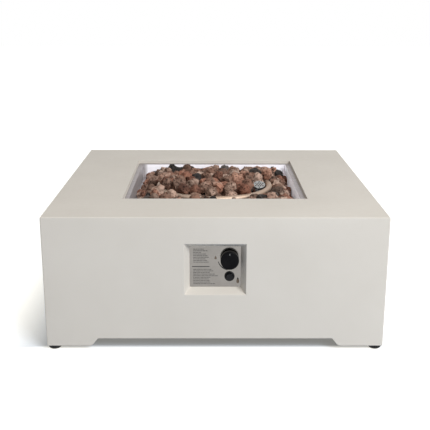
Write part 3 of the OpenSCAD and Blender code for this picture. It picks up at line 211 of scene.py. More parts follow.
def metal(name, stops, roughness, grain=300, stretch=(1, 1, 1), depth=0.02 * mm):
    """A bare or plated metal with a cloudy tint, uneven polish and a fine grain."""
    material, tree, shader = blank(name, Metallic=1.0)
    low, high = roughness
    feed(tree, shader, {
        "Base Color": ramp(tree, speckle(tree, 25), (0.3, stops[0]), (0.7, stops[1])),
        "Roughness": between(tree, speckle(tree, grain / 3, 3, stretch), low, high),
        "Normal": relief(tree, speckle(tree, grain, 2, stretch), depth),
    })
    return material


def plastic(name, dark, light, roughness, grain, gloss=0.5):
    """A plastic, or another smooth finish that isn't metal, with faint clouds and a fine grain."""
    material, tree, shader = blank(name, IOR=1.5, Specular_IOR_Level=gloss)
    low, high = roughness
    feed(tree, shader, {
        "Base Color": ramp(tree, speckle(tree, 40), (0.3, dark), (0.7, light)),
        "Roughness": between(tree, speckle(tree, 120), low, high),
        "Normal": relief(tree, speckle(tree, grain, 2), 0.03 * mm),
    })
    return material


def turned(profile, at, material, upright=True, steps=64):
    """A turned piece: (radius, height) points spun round an axis that stands up or faces the front."""
    work = bmesh.new()
    rings = []
    for radius, height in profile:
        count = steps if radius > 0 else 1
        angles = [2 * math.pi * k / count for k in range(count)]
        rings.append([work.verts.new((radius * math.cos(a), radius * math.sin(a), height)) for a in angles])
    for low, high in zip(rings, rings[1:]):
        for k in range(steps):
            corners = [ring[i % len(ring)] for ring, i in ((low, k), (low, k + 1), (high, k + 1), (high, k))]
            work.faces.new(list(dict.fromkeys(corners)))
    bmesh.ops.recalc_face_normals(work, faces=work.faces)
    turn = Matrix() if upright else Matrix.Rotation(math.pi / 2, 4, "X")
    work.transform(Matrix.Translation(at) @ turn)
    mesh = bpy.data.meshes.new("turned")
    work.to_mesh(mesh)
    work.free()
    mesh.shade_smooth()
    mesh.set_sharp_from_angle(angle=sharp_angle)
    mesh.materials.append(material)
    return mesh


def rounding(radius, height, r, start, end, steps=5):
    """Profile points on a small arc, with its centre at radius and height."""
    angles = [math.radians(start + (end - start) * i / steps) for i in range(steps + 1)]
    return [(radius + r * math.cos(a), height + r * math.sin(a)) for a in angles]


def dress(node, material):
    """Gives a CAD node whose shape is right its finish."""
    part = frame["nodes"][node]
    if not part.material_slots:
        part.data.materials.append(material)
    for spot in part.material_slots:
        spot.material = material


def node_tree(name, **sizes):
    """A Geometry Nodes tree with a named input for each size, and the sockets that give them."""
    tree = bpy.data.node_groups.new(name, "GeometryNodeTree")
    kinds = {float: "NodeSocketFloat", int: "NodeSocketInt", tuple: "NodeSocketVector"}
    tree.interface.new_socket("Geometry", in_out="INPUT", socket_type="NodeSocketGeometry")
    tree.interface.new_socket("Geometry", in_out="OUTPUT", socket_type="NodeSocketGeometry")
    for size, value in sizes.items():
        tree.interface.new_socket(size, in_out="INPUT", socket_type=kinds[type(value)])
    return tree, add(tree, "NodeGroupInput").outputs


def close_tree(tree, geometry, material):
    """Ends a tree with real geometry in one finish."""
    real = add(tree, "GeometryNodeRealizeInstances", {"Geometry": geometry}).outputs[0]
    done = add(tree, "GeometryNodeSetMaterial", {"Geometry": real, "Material": material}).outputs[0]
    tree.links.new(done, add(tree, "NodeGroupOutput").inputs[0])


def joined(tree, *parts):
    """Several geometries as one."""
    node = add(tree, "GeometryNodeJoinGeometry")
    for part in parts:
        tree.links.new(part, node.inputs[0])
    return node.outputs[0]


def moved(tree, geometry, offset=(0, 0, 0), turn=(0, 0, 0)):
    """A geometry at another place, as fixed numbers or from sockets."""
    inputs = {"Geometry": geometry, "Translation": offset, "Rotation": turn}
    return add(tree, "GeometryNodeTransform", inputs).outputs[0]


def upward(tree, height):
    """A height as a place on the Z axis."""
    return add(tree, "ShaderNodeCombineXYZ", {"Z": height}).outputs[0]


def times(tree, value, factor, operation="MULTIPLY"):
    """A number worked out from two others."""
    return add(tree, "ShaderNodeMath", {0: value, 1: factor}, operation=operation).outputs[0]


def points_mesh(places):
    """A mesh of loose points for a tree to set its pieces on."""
    mesh = bpy.data.meshes.new("places")
    mesh.from_pydata([tuple(p) for p in places], [], [])
    return mesh


def grown(mesh, tree, sizes, material):
    """The plain mesh that a tree makes of a mesh, with its sizes set first."""
    rough = rough_object(mesh)
    growth = rough.modifiers.new("growth", "NODES")
    growth.node_group = tree
    for item in tree.interface.items_tree:
        if item.in_out == "INPUT" and item.name in sizes:
            growth[item.identifier] = sizes[item.name]
    result = settled(rough, material)
    result.shade_smooth()
    result.set_sharp_from_angle(angle=sharp_angle)
    return result


zinc = metal("zinc_plate", ((0.52, 0.53, 0.52), (0.66, 0.65, 0.60)), (0.28, 0.42))
foot_black = plastic("foot_black", (0.006, 0.006, 0.007), (0.012, 0.012, 0.013), (0.42, 0.55), 900, 0.2)
dress("foot_inserts", zinc)

stud_sizes = {"radius": 5.0 * mm, "depth": 0.9 * mm, "pitch": 1.5 * mm, "start": 8.0 * mm,
              "length": 44 * mm, "head_radius": 8.0 * mm, "head_height": 4.5 * mm}
tree, size = node_tree("threaded_stud", **stud_sizes)
core_radius = times(tree, size["radius"], size["depth"], "SUBTRACT")
core = add(tree, "GeometryNodeMeshCylinder", {
    "Vertices": 32, "Radius": core_radius, "Depth": size["length"]})
thread_length = times(tree, size["length"], size["pitch"], "SUBTRACT")
spiral = add(tree, "GeometryNodeCurveSpiral", {
    "Resolution": 24, "Rotations": times(tree, thread_length, size["pitch"], "DIVIDE"),
    "Start Radius": core_radius, "End Radius": core_radius, "Height": thread_length})
flank = times(tree, size["pitch"], 0.48)
ridge = add(tree, "GeometryNodeCurvePrimitiveQuadrilateral", {
    "Width": times(tree, size["depth"], 2.0), "Bottom Height": flank, "Top Height": flank}, mode="KITE")
thread = add(tree, "GeometryNodeCurveToMesh", {
    "Curve": spiral.outputs[0], "Profile Curve": ridge.outputs[0], "Fill Caps": True})
half_core = upward(tree, times(tree, size["length"], 0.5))
half_pitch = upward(tree, times(tree, size["pitch"], 0.5))
head = add(tree, "GeometryNodeMeshCylinder", {
    "Vertices": 32, "Radius": size["head_radius"], "Depth": size["head_height"]})
head_drop = upward(tree, times(tree, size["head_height"], -0.5))
stud = joined(tree, moved(tree, core.outputs[0], half_core), moved(tree, thread.outputs[0], half_pitch),
              moved(tree, head.outputs[0], head_drop))
stud = moved(tree, stud, upward(tree, size["start"]))
standing = add(tree, "GeometryNodeInstanceOnPoints", {"Points": size["Geometry"], "Instance": stud})
close_tree(tree, standing.outputs[0], zinc)
stud_tree = tree

for corner in foot_corners:
    low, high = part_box("foot_pad_" + corner)
    axis = Vector(((low.x + high.x) / 2, (low.y + high.y) / 2, 0))
    pad_r = (high.x - low.x) / 2
    pad_h = high.z
    bowl_wide = pad_r - pad_flat_r
    bowl_rise = pad_h - pad_side
    bowl_turns = [math.radians(90 * i / 10) for i in range(11)]
    bowl = [(pad_flat_r + bowl_wide * math.sin(a), bowl_rise * (1 - math.cos(a))) for a in bowl_turns]
    rim = rounding(pad_r - pad_rim, pad_h - pad_rim, pad_rim, 0, 90)
    socket = [(pad_neck_r, pad_h), (pad_neck_r, pad_seat_high), (pad_seat_r, pad_seat_high),
              (pad_seat_r, pad_seat_low), (0, pad_seat_low)]
    pad = turned([(0, 0)] + bowl + rim + socket, axis, foot_black)
    place("pad_" + corner, pad, "foot_pad_" + corner)
    stud_mesh = grown(points_mesh([axis]), stud_tree, stud_sizes, zinc)
    place("stud_" + corner, stud_mesh, "foot_stud_" + corner)

# Burner pan: a tray folded from stainless sheet and welded at its corners, dull and pale with lava dust.
# Its flange lies on the ledge of the fire opening, under four screws, and is painted grey: a painted darker
# reflection.
# Its left wall carries the same painted reflection, more faintly.
pan_ease = 0.45 * mm
flange_depth = 0.5 * mm
flange_fade = 0.5 * mm
# How far the left wall's painted darker reflection reaches, how it fades and how strong it is.
left_reflection_reach = 18 * mm
left_reflection_fade = 12 * mm
left_reflection_share = 0.7
flange_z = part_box("burner_pan")[1].z
pan_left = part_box("burner_pan")[0].x
pan_steel, tree, shader = blank("pan_steel", Metallic=1.0)
coords = add(tree, "ShaderNodeTexCoord").outputs["Object"]
spot = add(tree, "ShaderNodeSeparateXYZ", {"Vector": coords}).outputs
flange_under = flange_z - flange_depth
flange = add(tree, "ShaderNodeMapRange", {
    "Value": spot["Z"], "From Min": flange_under - flange_fade, "From Max": flange_under}).outputs[0]
left_reflection_end = pan_left + left_reflection_reach
left_wall_reflection = add(tree, "ShaderNodeMapRange", {
    "Value": spot["X"], "From Min": left_reflection_end + left_reflection_fade, "From Max": left_reflection_end}).outputs[0]
# Painted darker reflection: the flange, and more faintly the left wall, are mixed towards grey.
dark_reflection_mask = times(tree, flange, times(tree, left_wall_reflection, left_reflection_share), "MAXIMUM")
streaks = speckle(tree, 160, 3, (0.2, 1, 1))
dusty = ramp(tree, streaks, (0.3, (0.95, 0.94, 0.96)), (0.7, (0.99, 0.98, 1.0)))
reflection_grey = ramp(tree, streaks, (0.3, (0.28, 0.25, 0.25)), (0.7, (0.38, 0.345, 0.345)))
feed(tree, shader, {
    "Base Color": add(tree, "ShaderNodeMix", {0: dark_reflection_mask, 6: dusty, 7: reflection_grey}, data_type="RGBA").outputs[2],
    "Roughness": add(tree, "ShaderNodeMapRange", {"Value": dark_reflection_mask, "To Min": 1.0, "To Max": 0.42}).outputs[0],
    "Normal": relief(tree, speckle(tree, 500, 2, (0.2, 1, 1)), 0.02 * mm),
})


def place_eased(name, node, width, material):
    """Sets an eased copy of a CAD node in its place."""
    place(name, eased(node, width, material), node)


place_eased("pan_tray", "burner_pan", pan_ease, pan_steel)

# Small screws: pan screws into the ledge, plate screws from behind and two through the valve's bonnet.
# Each is plated steel with a low dome head and a cross recess, driven home on its sheet.
head_radius = 3.6 * mm
head_height = 2.0 * mm
screw_sizes = {"dome": (head_radius ** 2 + head_height ** 2) / (2 * head_height), "head": head_radius,
               "height": head_height, "shank": 1.85 * mm, "length": 9.2 * mm, "slot": 0.8 * mm,
               "slot_depth": 1.1 * mm, "turn": (0.0, 0.0, 0.0)}
tree, size = node_tree("cross_head_screws", **screw_sizes)
dome = add(tree, "GeometryNodeMeshUVSphere", {"Segments": 32, "Rings": 24, "Radius": size["dome"]}).outputs[0]
dome = moved(tree, dome, upward(tree, times(tree, size["height"], size["dome"], "SUBTRACT")))
wide = times(tree, size["head"], 4.0)
slice_size = add(tree, "ShaderNodeCombineXYZ", {"X": wide, "Y": wide, "Z": size["height"]}).outputs[0]
slice_box = add(tree, "GeometryNodeMeshCube", {"Size": slice_size}).outputs[0]
slice_box = moved(tree, slice_box, upward(tree, times(tree, size["height"], 0.5)))
cap = add(tree, "GeometryNodeMeshBoolean", operation="INTERSECT")
tree.links.new(dome, cap.inputs[1])
tree.links.new(slice_box, cap.inputs[1])
bar_long = times(tree, size["head"], 1.15)
bar_high = times(tree, size["slot_depth"], 2.0)
bar_size = add(tree, "ShaderNodeCombineXYZ", {"X": bar_long, "Y": size["slot"], "Z": bar_high}).outputs[0]
bar = add(tree, "GeometryNodeMeshCube", {"Size": bar_size}).outputs[0]
bar = moved(tree, bar, upward(tree, size["height"]))
crossing = moved(tree, bar, turn=(0, 0, math.pi / 2))
cut = add(tree, "GeometryNodeMeshBoolean", {"Mesh 1": cap.outputs[0]}, operation="DIFFERENCE")
tree.links.new(bar, cut.inputs[1])
tree.links.new(crossing, cut.inputs[1])
shank = add(tree, "GeometryNodeMeshCylinder", {
    "Vertices": 24, "Radius": size["shank"], "Depth": size["length"]})
shank_at = upward(tree, times(tree, size["length"], -0.5))
screw = joined(tree, cut.outputs[0], moved(tree, shank.outputs[0], shank_at))
driven = add(tree, "GeometryNodeInstanceOnPoints", {
    "Points": size["Geometry"], "Instance": screw, "Rotation": size["turn"]}).outputs[0]
close_tree(tree, driven, zinc)
screw_tree = tree

pan_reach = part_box("pan_screws")[1].x - head_radius
pan_sides = ((1, 0), (-1, 0), (0, 1), (0, -1))
pan_spots = [(x * pan_reach, y * pan_reach, flange_z) for x, y in pan_sides]
place("flange_screws", grown(points_mesh(pan_spots), screw_tree, screw_sizes, zinc), "pan_screws")

low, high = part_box("plate_screws")
plate_spots = [(x, high.y - head_height, z) for x in (low.x + head_radius, high.x - head_radius)
               for z in (low.z + head_radius, high.z - head_radius)]
backward = {**screw_sizes, "turn": (-math.pi / 2, 0.0, 0.0), "length": 10.5 * mm}
place("cover_screws", grown(points_mesh(plate_spots), screw_tree, backward, zinc), "plate_screws")

low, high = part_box("bonnet_screws")
bonnet_middle = (low.z + high.z) / 2
bonnet_spots = [(x, low.y + head_height, bonnet_middle) for x in (low.x + head_radius, high.x - head_radius)]
forward = {**screw_sizes, "turn": (math.pi / 2, 0.0, 0.0), "length": 13.5 * mm}
place("valve_screws", grown(points_mesh(bonnet_spots), screw_tree, forward, zinc), "bonnet_screws")

# Burner ring: a stainless tube bent to a ring and welded shut, drilled on top with a row of flame ports.
# Its first firings have tinted it a straw brown; three folded brackets carry it, riveted to the pan.
port_ease = 0.2 * mm
sheet_ease = 0.3 * mm
rivet_ease = 0.6 * mm
ring_steel = metal("ring_steel", ((0.49, 0.36, 0.265), (0.43, 0.335, 0.275)), (0.52, 0.64), 260)
place_eased("flame_ring", "burner_ring", port_ease, ring_steel)
place_eased("ring_cradles", "ring_brackets", sheet_ease, zinc)
place_eased("cradle_rivets", "bracket_rivets", rivet_ease, zinc)

# Burner inlet: the ring's pipe passes the pan's floor between two brass lock nuts into a cast air mixer.
# The brass jet screws into the mixer from below, and a bent aluminium tube brings the gas from the valve.
nut_ease = 0.5 * mm
cast_ease = 0.5 * mm
jet_ease = 0.35 * mm
tube_ease = 0.15 * mm
brass = metal("turned_brass", ((0.66, 0.47, 0.18), (0.76, 0.58, 0.27)), (0.22, 0.34))
cast_iron = metal("cast_mixer_skin", ((0.20, 0.20, 0.20), (0.30, 0.30, 0.29)), (0.50, 0.65), 240,
                  depth=0.15 * mm)
drawn_tube = metal("drawn_aluminium", ((0.70, 0.70, 0.71), (0.80, 0.80, 0.81)), (0.28, 0.40), 400)
place_eased("inlet_lock_nuts", "lock_nuts", nut_ease, brass)
place_eased("mixer_casting", "air_mixer", cast_ease, cast_iron)
place_eased("brass_jet", "gas_jet", jet_ease, brass)
place_eased("bent_gas_tube", "gas_tube", tube_ease, drawn_tube)
place_eased("flare_nuts", "tube_nuts", nut_ease, brass)

# Pilot: a drawn stainless cap, perforated on top, on a folded bracket riveted to the pan's floor.
# A spark electrode in a white ceramic and a thermocouple stand under it, and their leads run to the controls.
# The bracket and the thermocouple are stained dark by the pilot's flame.
ceramic_ease = 0.4 * mm
wire_ease = 0.25 * mm
rod_ease = 0.5 * mm
clip_ease = 0.25 * mm
grommet_ease = 0.5 * mm
hood_steel = metal("hood_steel", ((0.33, 0.33, 0.325), (0.45, 0.45, 0.44)), (0.30, 0.44), 400)
stained_steel = metal("stained_steel", ((0.07, 0.066, 0.062), (0.12, 0.109, 0.100)), (0.45, 0.60))
copper = metal("plain_copper", ((0.62, 0.30, 0.18), (0.74, 0.41, 0.27)), (0.28, 0.40))
bright_steel = metal("bright_steel", ((0.42, 0.42, 0.42), (0.52, 0.52, 0.52)), (0.22, 0.34))
ceramic = plastic("white_ceramic", (0.76, 0.74, 0.69), (0.84, 0.82, 0.77), (0.45, 0.60), 700)
silicone = plastic("red_silicone", (0.50, 0.07, 0.03), (0.62, 0.11, 0.05), (0.38, 0.50), 800)
rubber = plastic("black_rubber", (0.020, 0.020, 0.020), (0.034, 0.034, 0.034), (0.60, 0.75), 600)


def rounded(node, material):
    """A copy of a CAD tube with its sides made round."""
    rough = rough_object(merged(node))
    soften = rough.modifiers.new("soften", "SUBSURF")
    soften.levels = soften.render_levels = 1
    return settled(rough, material)


place_eased("perforated_hood", "pilot_hood", port_ease, hood_steel)
place_eased("hood_bracket", "pilot_bracket", sheet_ease, stained_steel)
place_eased("spark_ceramic", "electrode_ceramic", ceramic_ease, ceramic)
place_eased("spark_wire", "electrode_wire", wire_ease, bright_steel)
place_eased("thermocouple_rod", "thermocouple", rod_ease, stained_steel)
place("copper_lead", rounded("thermocouple_lead", copper), "thermocouple_lead")
place("silicone_lead", rounded("ignition_lead", silicone), "ignition_lead")
place_eased("twin_lead_clip", "lead_clip", clip_ease, zinc)
place_eased("cover_grommet", "lead_grommet", grommet_ease, rubber)

# Gas valve: a brass body with a turning plug, a steel stem and its spring under a screwed bonnet.
# The flame-safety magnet screws into its back, and a brass elbow takes the supply hose from below.
valve_ease = 0.6 * mm
bonnet_ease = 0.4 * mm
elbow_ease = 0.5 * mm
magnet_ease = 0.5 * mm
place_eased("brass_valve", "valve_body", valve_ease, brass)
place_eased("brass_bonnet", "valve_bonnet", bonnet_ease, brass)
place_eased("brass_elbow", "gas_inlet", elbow_ease, brass)
place_eased("magnet_can", "safety_magnet", magnet_ease, copper)
for node in ("valve_plug", "valve_stem"):
    dress(node, bright_steel)


def sprung(name, node):
    """A coil spring, seated at the back, on a mesh of its own."""
    mesh = merged(node)
    mesh.materials.append(bright_steel)
    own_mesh(place(name, mesh, node))


sprung("plug_spring", "stem_spring")

# Control plate and its cover: a sheet of satin stainless closes the back of the recess.
# A folded galvanised cover behind it keeps the rain off, and both are screwed to the casting.
plate_ease = 0.25 * mm
# Its colour is painted well darker than bare stainless: a painted darker reflection of the room.
panel_steel = metal("satin_panel", ((0.225, 0.210, 0.196), (0.255, 0.238, 0.223)), (0.10, 0.16), 700,
                    (1, 1, 0.08))
place_eased("satin_plate", "control_plate", plate_ease, panel_steel)

galvanised, tree, shader = blank("galvanised_sheet", Metallic=1.0)
coords = add(tree, "ShaderNodeTexCoord").outputs["Object"]
spangle = add(tree, "ShaderNodeTexVoronoi", {"Vector": coords, "Scale": 90.0}).outputs["Color"]
spangle = add(tree, "ShaderNodeRGBToBW", {"Color": spangle}).outputs[0]
feed(tree, shader, {
    "Base Color": ramp(tree, spangle, (0.2, (0.46, 0.48, 0.49)), (0.8, (0.62, 0.63, 0.63))),
    "Roughness": between(tree, spangle, 0.30, 0.46),
    "Normal": relief(tree, speckle(tree, 260), 0.02 * mm),
})
place_eased("sheet_cover", "control_box", sheet_ease, galvanised)

# Print on the plate: screen ink in two blocks of plain grey strips with a black bar between them.
# A swelling arc beside the knob and a small drop show which way the flame grows, and a tall drop the spark.
plate_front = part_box("control_plate")[0].y
knob_low, knob_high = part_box("control_knob")
knob_x = (knob_low.x + knob_high.x) / 2
knob_z = (knob_low.z + knob_high.z) / 2
ink_thick = 0.06 * mm
grey_ink = plastic("grey_ink", (0.070, 0.067, 0.064), (0.095, 0.091, 0.087), (0.50, 0.65), 900)
brown_ink = plastic("brown_ink", (0.120, 0.088, 0.062), (0.150, 0.112, 0.082), (0.50, 0.65), 900)
black_ink = plastic("black_ink", (0.012, 0.012, 0.014), (0.018, 0.018, 0.020), (0.50, 0.65), 900)

row_pitch = 4.5 * mm
line_share = (0.55, 1.0)
word_span_mm = (2.0, 8.5)
word_space = 0.9 * mm
word_sizes = {"stroke": 1.9 * mm, "thick": ink_thick}
tree, size = node_tree("printed_words", **word_sizes)
word_long = add(tree, "GeometryNodeInputNamedAttribute", {"Name": "long"}, data_type="FLOAT").outputs[0]
word_box = add(tree, "ShaderNodeCombineXYZ", {"X": word_long, "Y": size["stroke"], "Z": size["thick"]})
block = add(tree, "GeometryNodeMeshCube", {"Size": (1, 1, 1)}).outputs[0]
strips = add(tree, "GeometryNodeInstanceOnPoints", {
    "Points": size["Geometry"], "Instance": block, "Scale": word_box.outputs[0]}).outputs[0]
close_tree(tree, strips, grey_ink)
words_tree = tree


def words_mesh(rows, line, seed):
    """Points in the middle of printed words, row under row, each with its word's length."""
    draw = random.Random(seed)
    middles, lengths = [], []
    for row in range(rows):
        x, end = 0.0, line * draw.uniform(*line_share)
        while True:
            long = draw.uniform(*word_span_mm) * mm
            if x + long > end:
                break
            middles.append((x + long / 2, -row * row_pitch, 0))
            lengths.append(long)
            x += long + word_space
    mesh = points_mesh(middles)
    mesh.attributes.new("long", "FLOAT", "POINT").data.foreach_set("value", lengths)
    return mesh


facing = Matrix.Rotation(math.pi / 2, 4, "X")
print_left = -58 * mm
print_blocks = (("print_upper", 9, 46 * mm, 276 * mm, 3), ("print_lower", 10, 74 * mm, 220 * mm, 8))
for name, rows, line, top, seed in print_blocks:
    words = grown(words_mesh(rows, line, seed), words_tree, word_sizes, grey_ink)
    words.transform(Matrix.Translation((print_left, plate_front - ink_thick / 2, top)) @ facing)
    place(name, words, on="control_plate")


def ink_shape(outline, ink):
    """A flat printed mark from an outline of (x, z) points round the knob's axis."""
    work = bmesh.new()
    face = work.faces.new([work.verts.new((x, z, 0)) for x, z in outline])
    grown_up = bmesh.ops.extrude_face_region(work, geom=[face])["geom"]
    lifted = [g for g in grown_up if isinstance(g, bmesh.types.BMVert)]
    bmesh.ops.translate(work, verts=lifted, vec=(0, 0, ink_thick))
    bmesh.ops.recalc_face_normals(work, faces=work.faces)
    work.transform(Matrix.Translation((knob_x, plate_front, knob_z)) @ facing)
    mesh = bpy.data.meshes.new("ink")
    work.to_mesh(mesh)
    work.free()
    mesh.materials.append(ink)
    return mesh


arc_radius = 31 * mm
arc_start = 196
arc_sweep = 64
arc_thin_mm = 0.9
arc_swell_mm = 1.2
arc_steps = 24
outer, inner = [], []
for i in range(arc_steps + 1):
    angle = math.radians(arc_start + arc_sweep * i / arc_steps)
    half_wide = (arc_thin_mm + arc_swell_mm * i / arc_steps) * mm
    for edge, radius in ((outer, arc_radius + half_wide), (inner, arc_radius - half_wide)):
        edge.append((radius * math.cos(angle), radius * math.sin(angle)))
place("flame_arc", ink_shape(outer + inner[::-1], black_ink), on="control_plate")

heading_left = -99 * mm
heading_right = -53 * mm
heading_low = -23.5 * mm
heading_high = -21.3 * mm
heading = ((heading_left, heading_low), (heading_right, heading_low),
           (heading_right, heading_high), (heading_left, heading_high))
place("heading_bar", ink_shape(heading, black_ink), on="control_plate")


def drop_outline(x, z, tall, slim):
    """The outline of a drop round a middle point: pointed on top, and wider below."""
    half = tall / 2
    turns = [2 * math.pi * i / 28 for i in range(28)]
    return [(x + slim * half * math.sin(t) * math.sin(t / 2) ** 1.5, z + half * math.cos(t)) for t in turns]


drops = (("low_mark", -37 * mm, 3 * mm, 10 * mm, 0.9, brown_ink),
         ("spark_mark", 22 * mm, -60 * mm, 18 * mm, 0.6, brown_ink),
         ("spark_tip", 22 * mm, -55 * mm, 6 * mm, 0.9, black_ink))
for name, x, z, tall, slim, ink in drops:
    place(name, ink_shape(drop_outline(x, z, tall, slim), ink), on="control_plate")

# Control knob: black moulded plastic with a hollow back and a hub that grips the stem's flat.
# Its face is slightly dished inside a rounded rim, and a grey mark is let into it.
knob_black = plastic("knob_black", (0.004, 0.004, 0.005), (0.007, 0.007, 0.008), (0.24, 0.34), 1100, 0.04)
mark_grey = plastic("mark_grey", (0.11, 0.11, 0.11), (0.15, 0.15, 0.15), (0.40, 0.50), 800)
knob_r = (knob_high.x - knob_low.x) / 2
knob_long = knob_high.y - knob_low.y
knob_rim = 2.5 * mm
knob_edge = 0.4 * mm
mark_ease = 0.25 * mm
skirt_wall = 2.5 * mm
face_wall = 3.5 * mm
hub_r = 8 * mm
dish_border = 1.2 * mm
dish_deep = 0.5 * mm
skirt_in = knob_r - skirt_wall
web = knob_long - face_wall
dish_r = knob_r - knob_rim - dish_border
knob_profile = [(0, 0), (hub_r, 0), (hub_r, web), (skirt_in, web), (skirt_in, 0), (knob_r - knob_edge, 0)]
knob_profile += rounding(knob_r - knob_edge, knob_edge, knob_edge, -90, 0, 3)[1:]
knob_profile += rounding(knob_r - knob_rim, knob_long - knob_rim, knob_rim, 0, 90, 8)
knob_profile += [(dish_r * (1 - i / 6), knob_long - dish_deep * math.sin(math.pi * i / 12)) for i in range(7)]
knob_mesh = turned(knob_profile, (knob_x, knob_high.y, knob_z), knob_black, upright=False, steps=96)
place("black_knob", knob_mesh, "control_knob")
place_eased("knob_mark", "knob_pointer", mark_ease, mark_grey)

# Igniter: a black plastic barrel with a bezel, held through the plate by a nut from behind.
# A sprung button at its front fires the spark; a plain battery sits behind its spring.
igniter_black = plastic("igniter_black", (0.006, 0.006, 0.007), (0.010, 0.010, 0.012), (0.20, 0.30), 1000,
                        0.14)
battery_skin = plastic("battery_skin", (0.05, 0.12, 0.28), (0.08, 0.16, 0.34), (0.25, 0.35), 900)
low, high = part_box("igniter_body")
igniter_at = Vector((knob_x, plate_front, (low.z + high.z) / 2))
bezel_r = (high.x - low.x) / 2
bezel_out = plate_front - low.y
barrel_r = 11 * mm
barrel_edge = 0.6 * mm
barrel_back = plate_front - high.y
bezel_edge = 1.2 * mm
bore_r = 9.45 * mm
bore_edge = 0.8 * mm
cell_r = 5.45 * mm
cell_end = barrel_back + 3 * mm
well = -10.8 * mm
barrel = [(0, barrel_back), (barrel_r - barrel_edge, barrel_back), (barrel_r, barrel_back + barrel_edge),
          (barrel_r, 0), (bezel_r, 0)]
barrel += rounding(bezel_r - bezel_edge, bezel_out - bezel_edge, bezel_edge, 0, 90)
barrel += rounding(bore_r + bore_edge, bezel_out - bore_edge, bore_edge, 90, 180)
barrel += [(bore_r, well), (cell_r, well), (cell_r, cell_end), (0, cell_end)]
place("igniter_barrel", turned(barrel, igniter_at, igniter_black, upright=False), "igniter_body")

low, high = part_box("igniter_button")
button_r = (high.x - low.x) / 2
button_long = high.y - low.y
button_edge = 1.5 * mm
hollow_r = 5.6 * mm
hollow_deep = 1.1 * mm
hollow_falls = [math.sin(math.pi * (i + 1.5) / 15) for i in range(7)]
button = [(0, 0), (button_r, 0)]
button += rounding(button_r - button_edge, button_long - button_edge, button_edge, 0, 90)
button += [(hollow_r * (1 - i / 6), button_long - hollow_deep * fall) for i, fall in enumerate(hollow_falls)]
button_at = (igniter_at.x, high.y, igniter_at.z)
place("push_button", turned(button, button_at, igniter_black, upright=False), "igniter_button")
place_eased("barrel_nut", "igniter_nut", nut_ease, zinc)
place_eased("spade_terminal", "igniter_terminal", sheet_ease, bright_steel)
sprung("button_spring", "igniter_spring")
dress("igniter_battery", battery_skin)

# Lava rock: broken lumps of volcanic rock with blunt edges and a rough skin full of pores.
# They lie loose in the pan in brown, rust and charcoal, heaped round the flame ring and clear of the hood.
heaps = [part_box("lava_rocks_" + kind) for kind in ("brown", "rust", "charcoal")]
rock_sizes = {"split": 2, "swell": 0.6 * mm, "lump": 6.5 * mm, "lump_scale": 38.0,
              "knob": 4.6 * mm, "knob_scale": 95.0, "pit": 2.6 * mm, "pit_scale": 120.0,
              "low": tuple(min(box[0][i] for box in heaps) for i in range(3)),
              "high": tuple(max(box[1][i] for box in heaps) for i in range(3)), "seed": 5}
tree, size = node_tree("lava_rock", **rock_sizes)


def chance(tree, low, high, identity, seed):
    """A random number for each identity."""
    return add(tree, "FunctionNodeRandomValue", {2: low, 3: high, 7: identity, 8: seed}).outputs[1]


def stored(tree, geometry, name, value):
    """A number kept on each corner for the finish to read."""
    node = add(tree, "GeometryNodeStoreNamedAttribute", {"Geometry": geometry, "Name": name},
               data_type="FLOAT", domain="POINT")
    tree.links.new(value, next(s for s in node.inputs if s.name == "Value" and s.enabled))
    return node.outputs[0]


island = add(tree, "GeometryNodeInputMeshIsland").outputs["Island Index"]
rocks = stored(tree, size["Geometry"], "tone", chance(tree, 0.0, 1.0, island, size["seed"]))
second_seed = times(tree, size["seed"], 17.0, "ADD")
rocks = stored(tree, rocks, "warmth", chance(tree, 0.0, 1.0, island, second_seed))
rocks = add(tree, "GeometryNodeSubdivideMesh", {"Mesh": rocks, "Level": size["split"]}).outputs[0]
here = add(tree, "GeometryNodeInputPosition").outputs[0]


def wave(tree, scale, height):
    """A rise and fall of the skin, by up to that height each way."""
    noise = add(tree, "ShaderNodeTexNoise", {"Vector": here, "Scale": scale, "Detail": 3.0}).outputs[0]
    return times(tree, times(tree, noise, 0.5, "SUBTRACT"), times(tree, height, 2.0))


lumps = wave(tree, size["lump_scale"], size["lump"])
lumps = times(tree, lumps, wave(tree, size["knob_scale"], size["knob"]), "ADD")
cells = add(tree, "ShaderNodeTexVoronoi", {"Vector": here, "Scale": size["pit_scale"]}).outputs["Distance"]
pits = times(tree, times(tree, cells, 0.45, "SUBTRACT"), size["pit"])
rise = times(tree, times(tree, lumps, pits, "ADD"), size["swell"], "ADD")
for start, end in ((size["low"], here), (here, size["high"])):
    gap = add(tree, "ShaderNodeVectorMath", {0: end, 1: start}, operation="SUBTRACT").outputs[0]
    for room in add(tree, "ShaderNodeSeparateXYZ", {"Vector": gap}).outputs:
        rise = times(tree, rise, room, "MINIMUM")
outward = add(tree, "GeometryNodeInputNormal").outputs[0]
step = add(tree, "ShaderNodeVectorMath", {0: outward, 3: rise}, operation="SCALE").outputs[0]
rocks = stored(tree, rocks, "height", times(tree, rise, size["lump"], "DIVIDE"))
rocks = add(tree, "GeometryNodeSetPosition", {"Geometry": rocks, "Offset": step}).outputs[0]
pore_scale = 150.0
pore_bend = 14 * mm
bend_scale = 110.0
skin_depth = 0.9 * mm


def shaded(tree, colour, shade):
    """A colour darkened by a shade."""
    return add(tree, "ShaderNodeMix", {0: 1.0, 6: colour, 7: shade}, data_type="RGBA",
               blend_type="MULTIPLY").outputs[2]


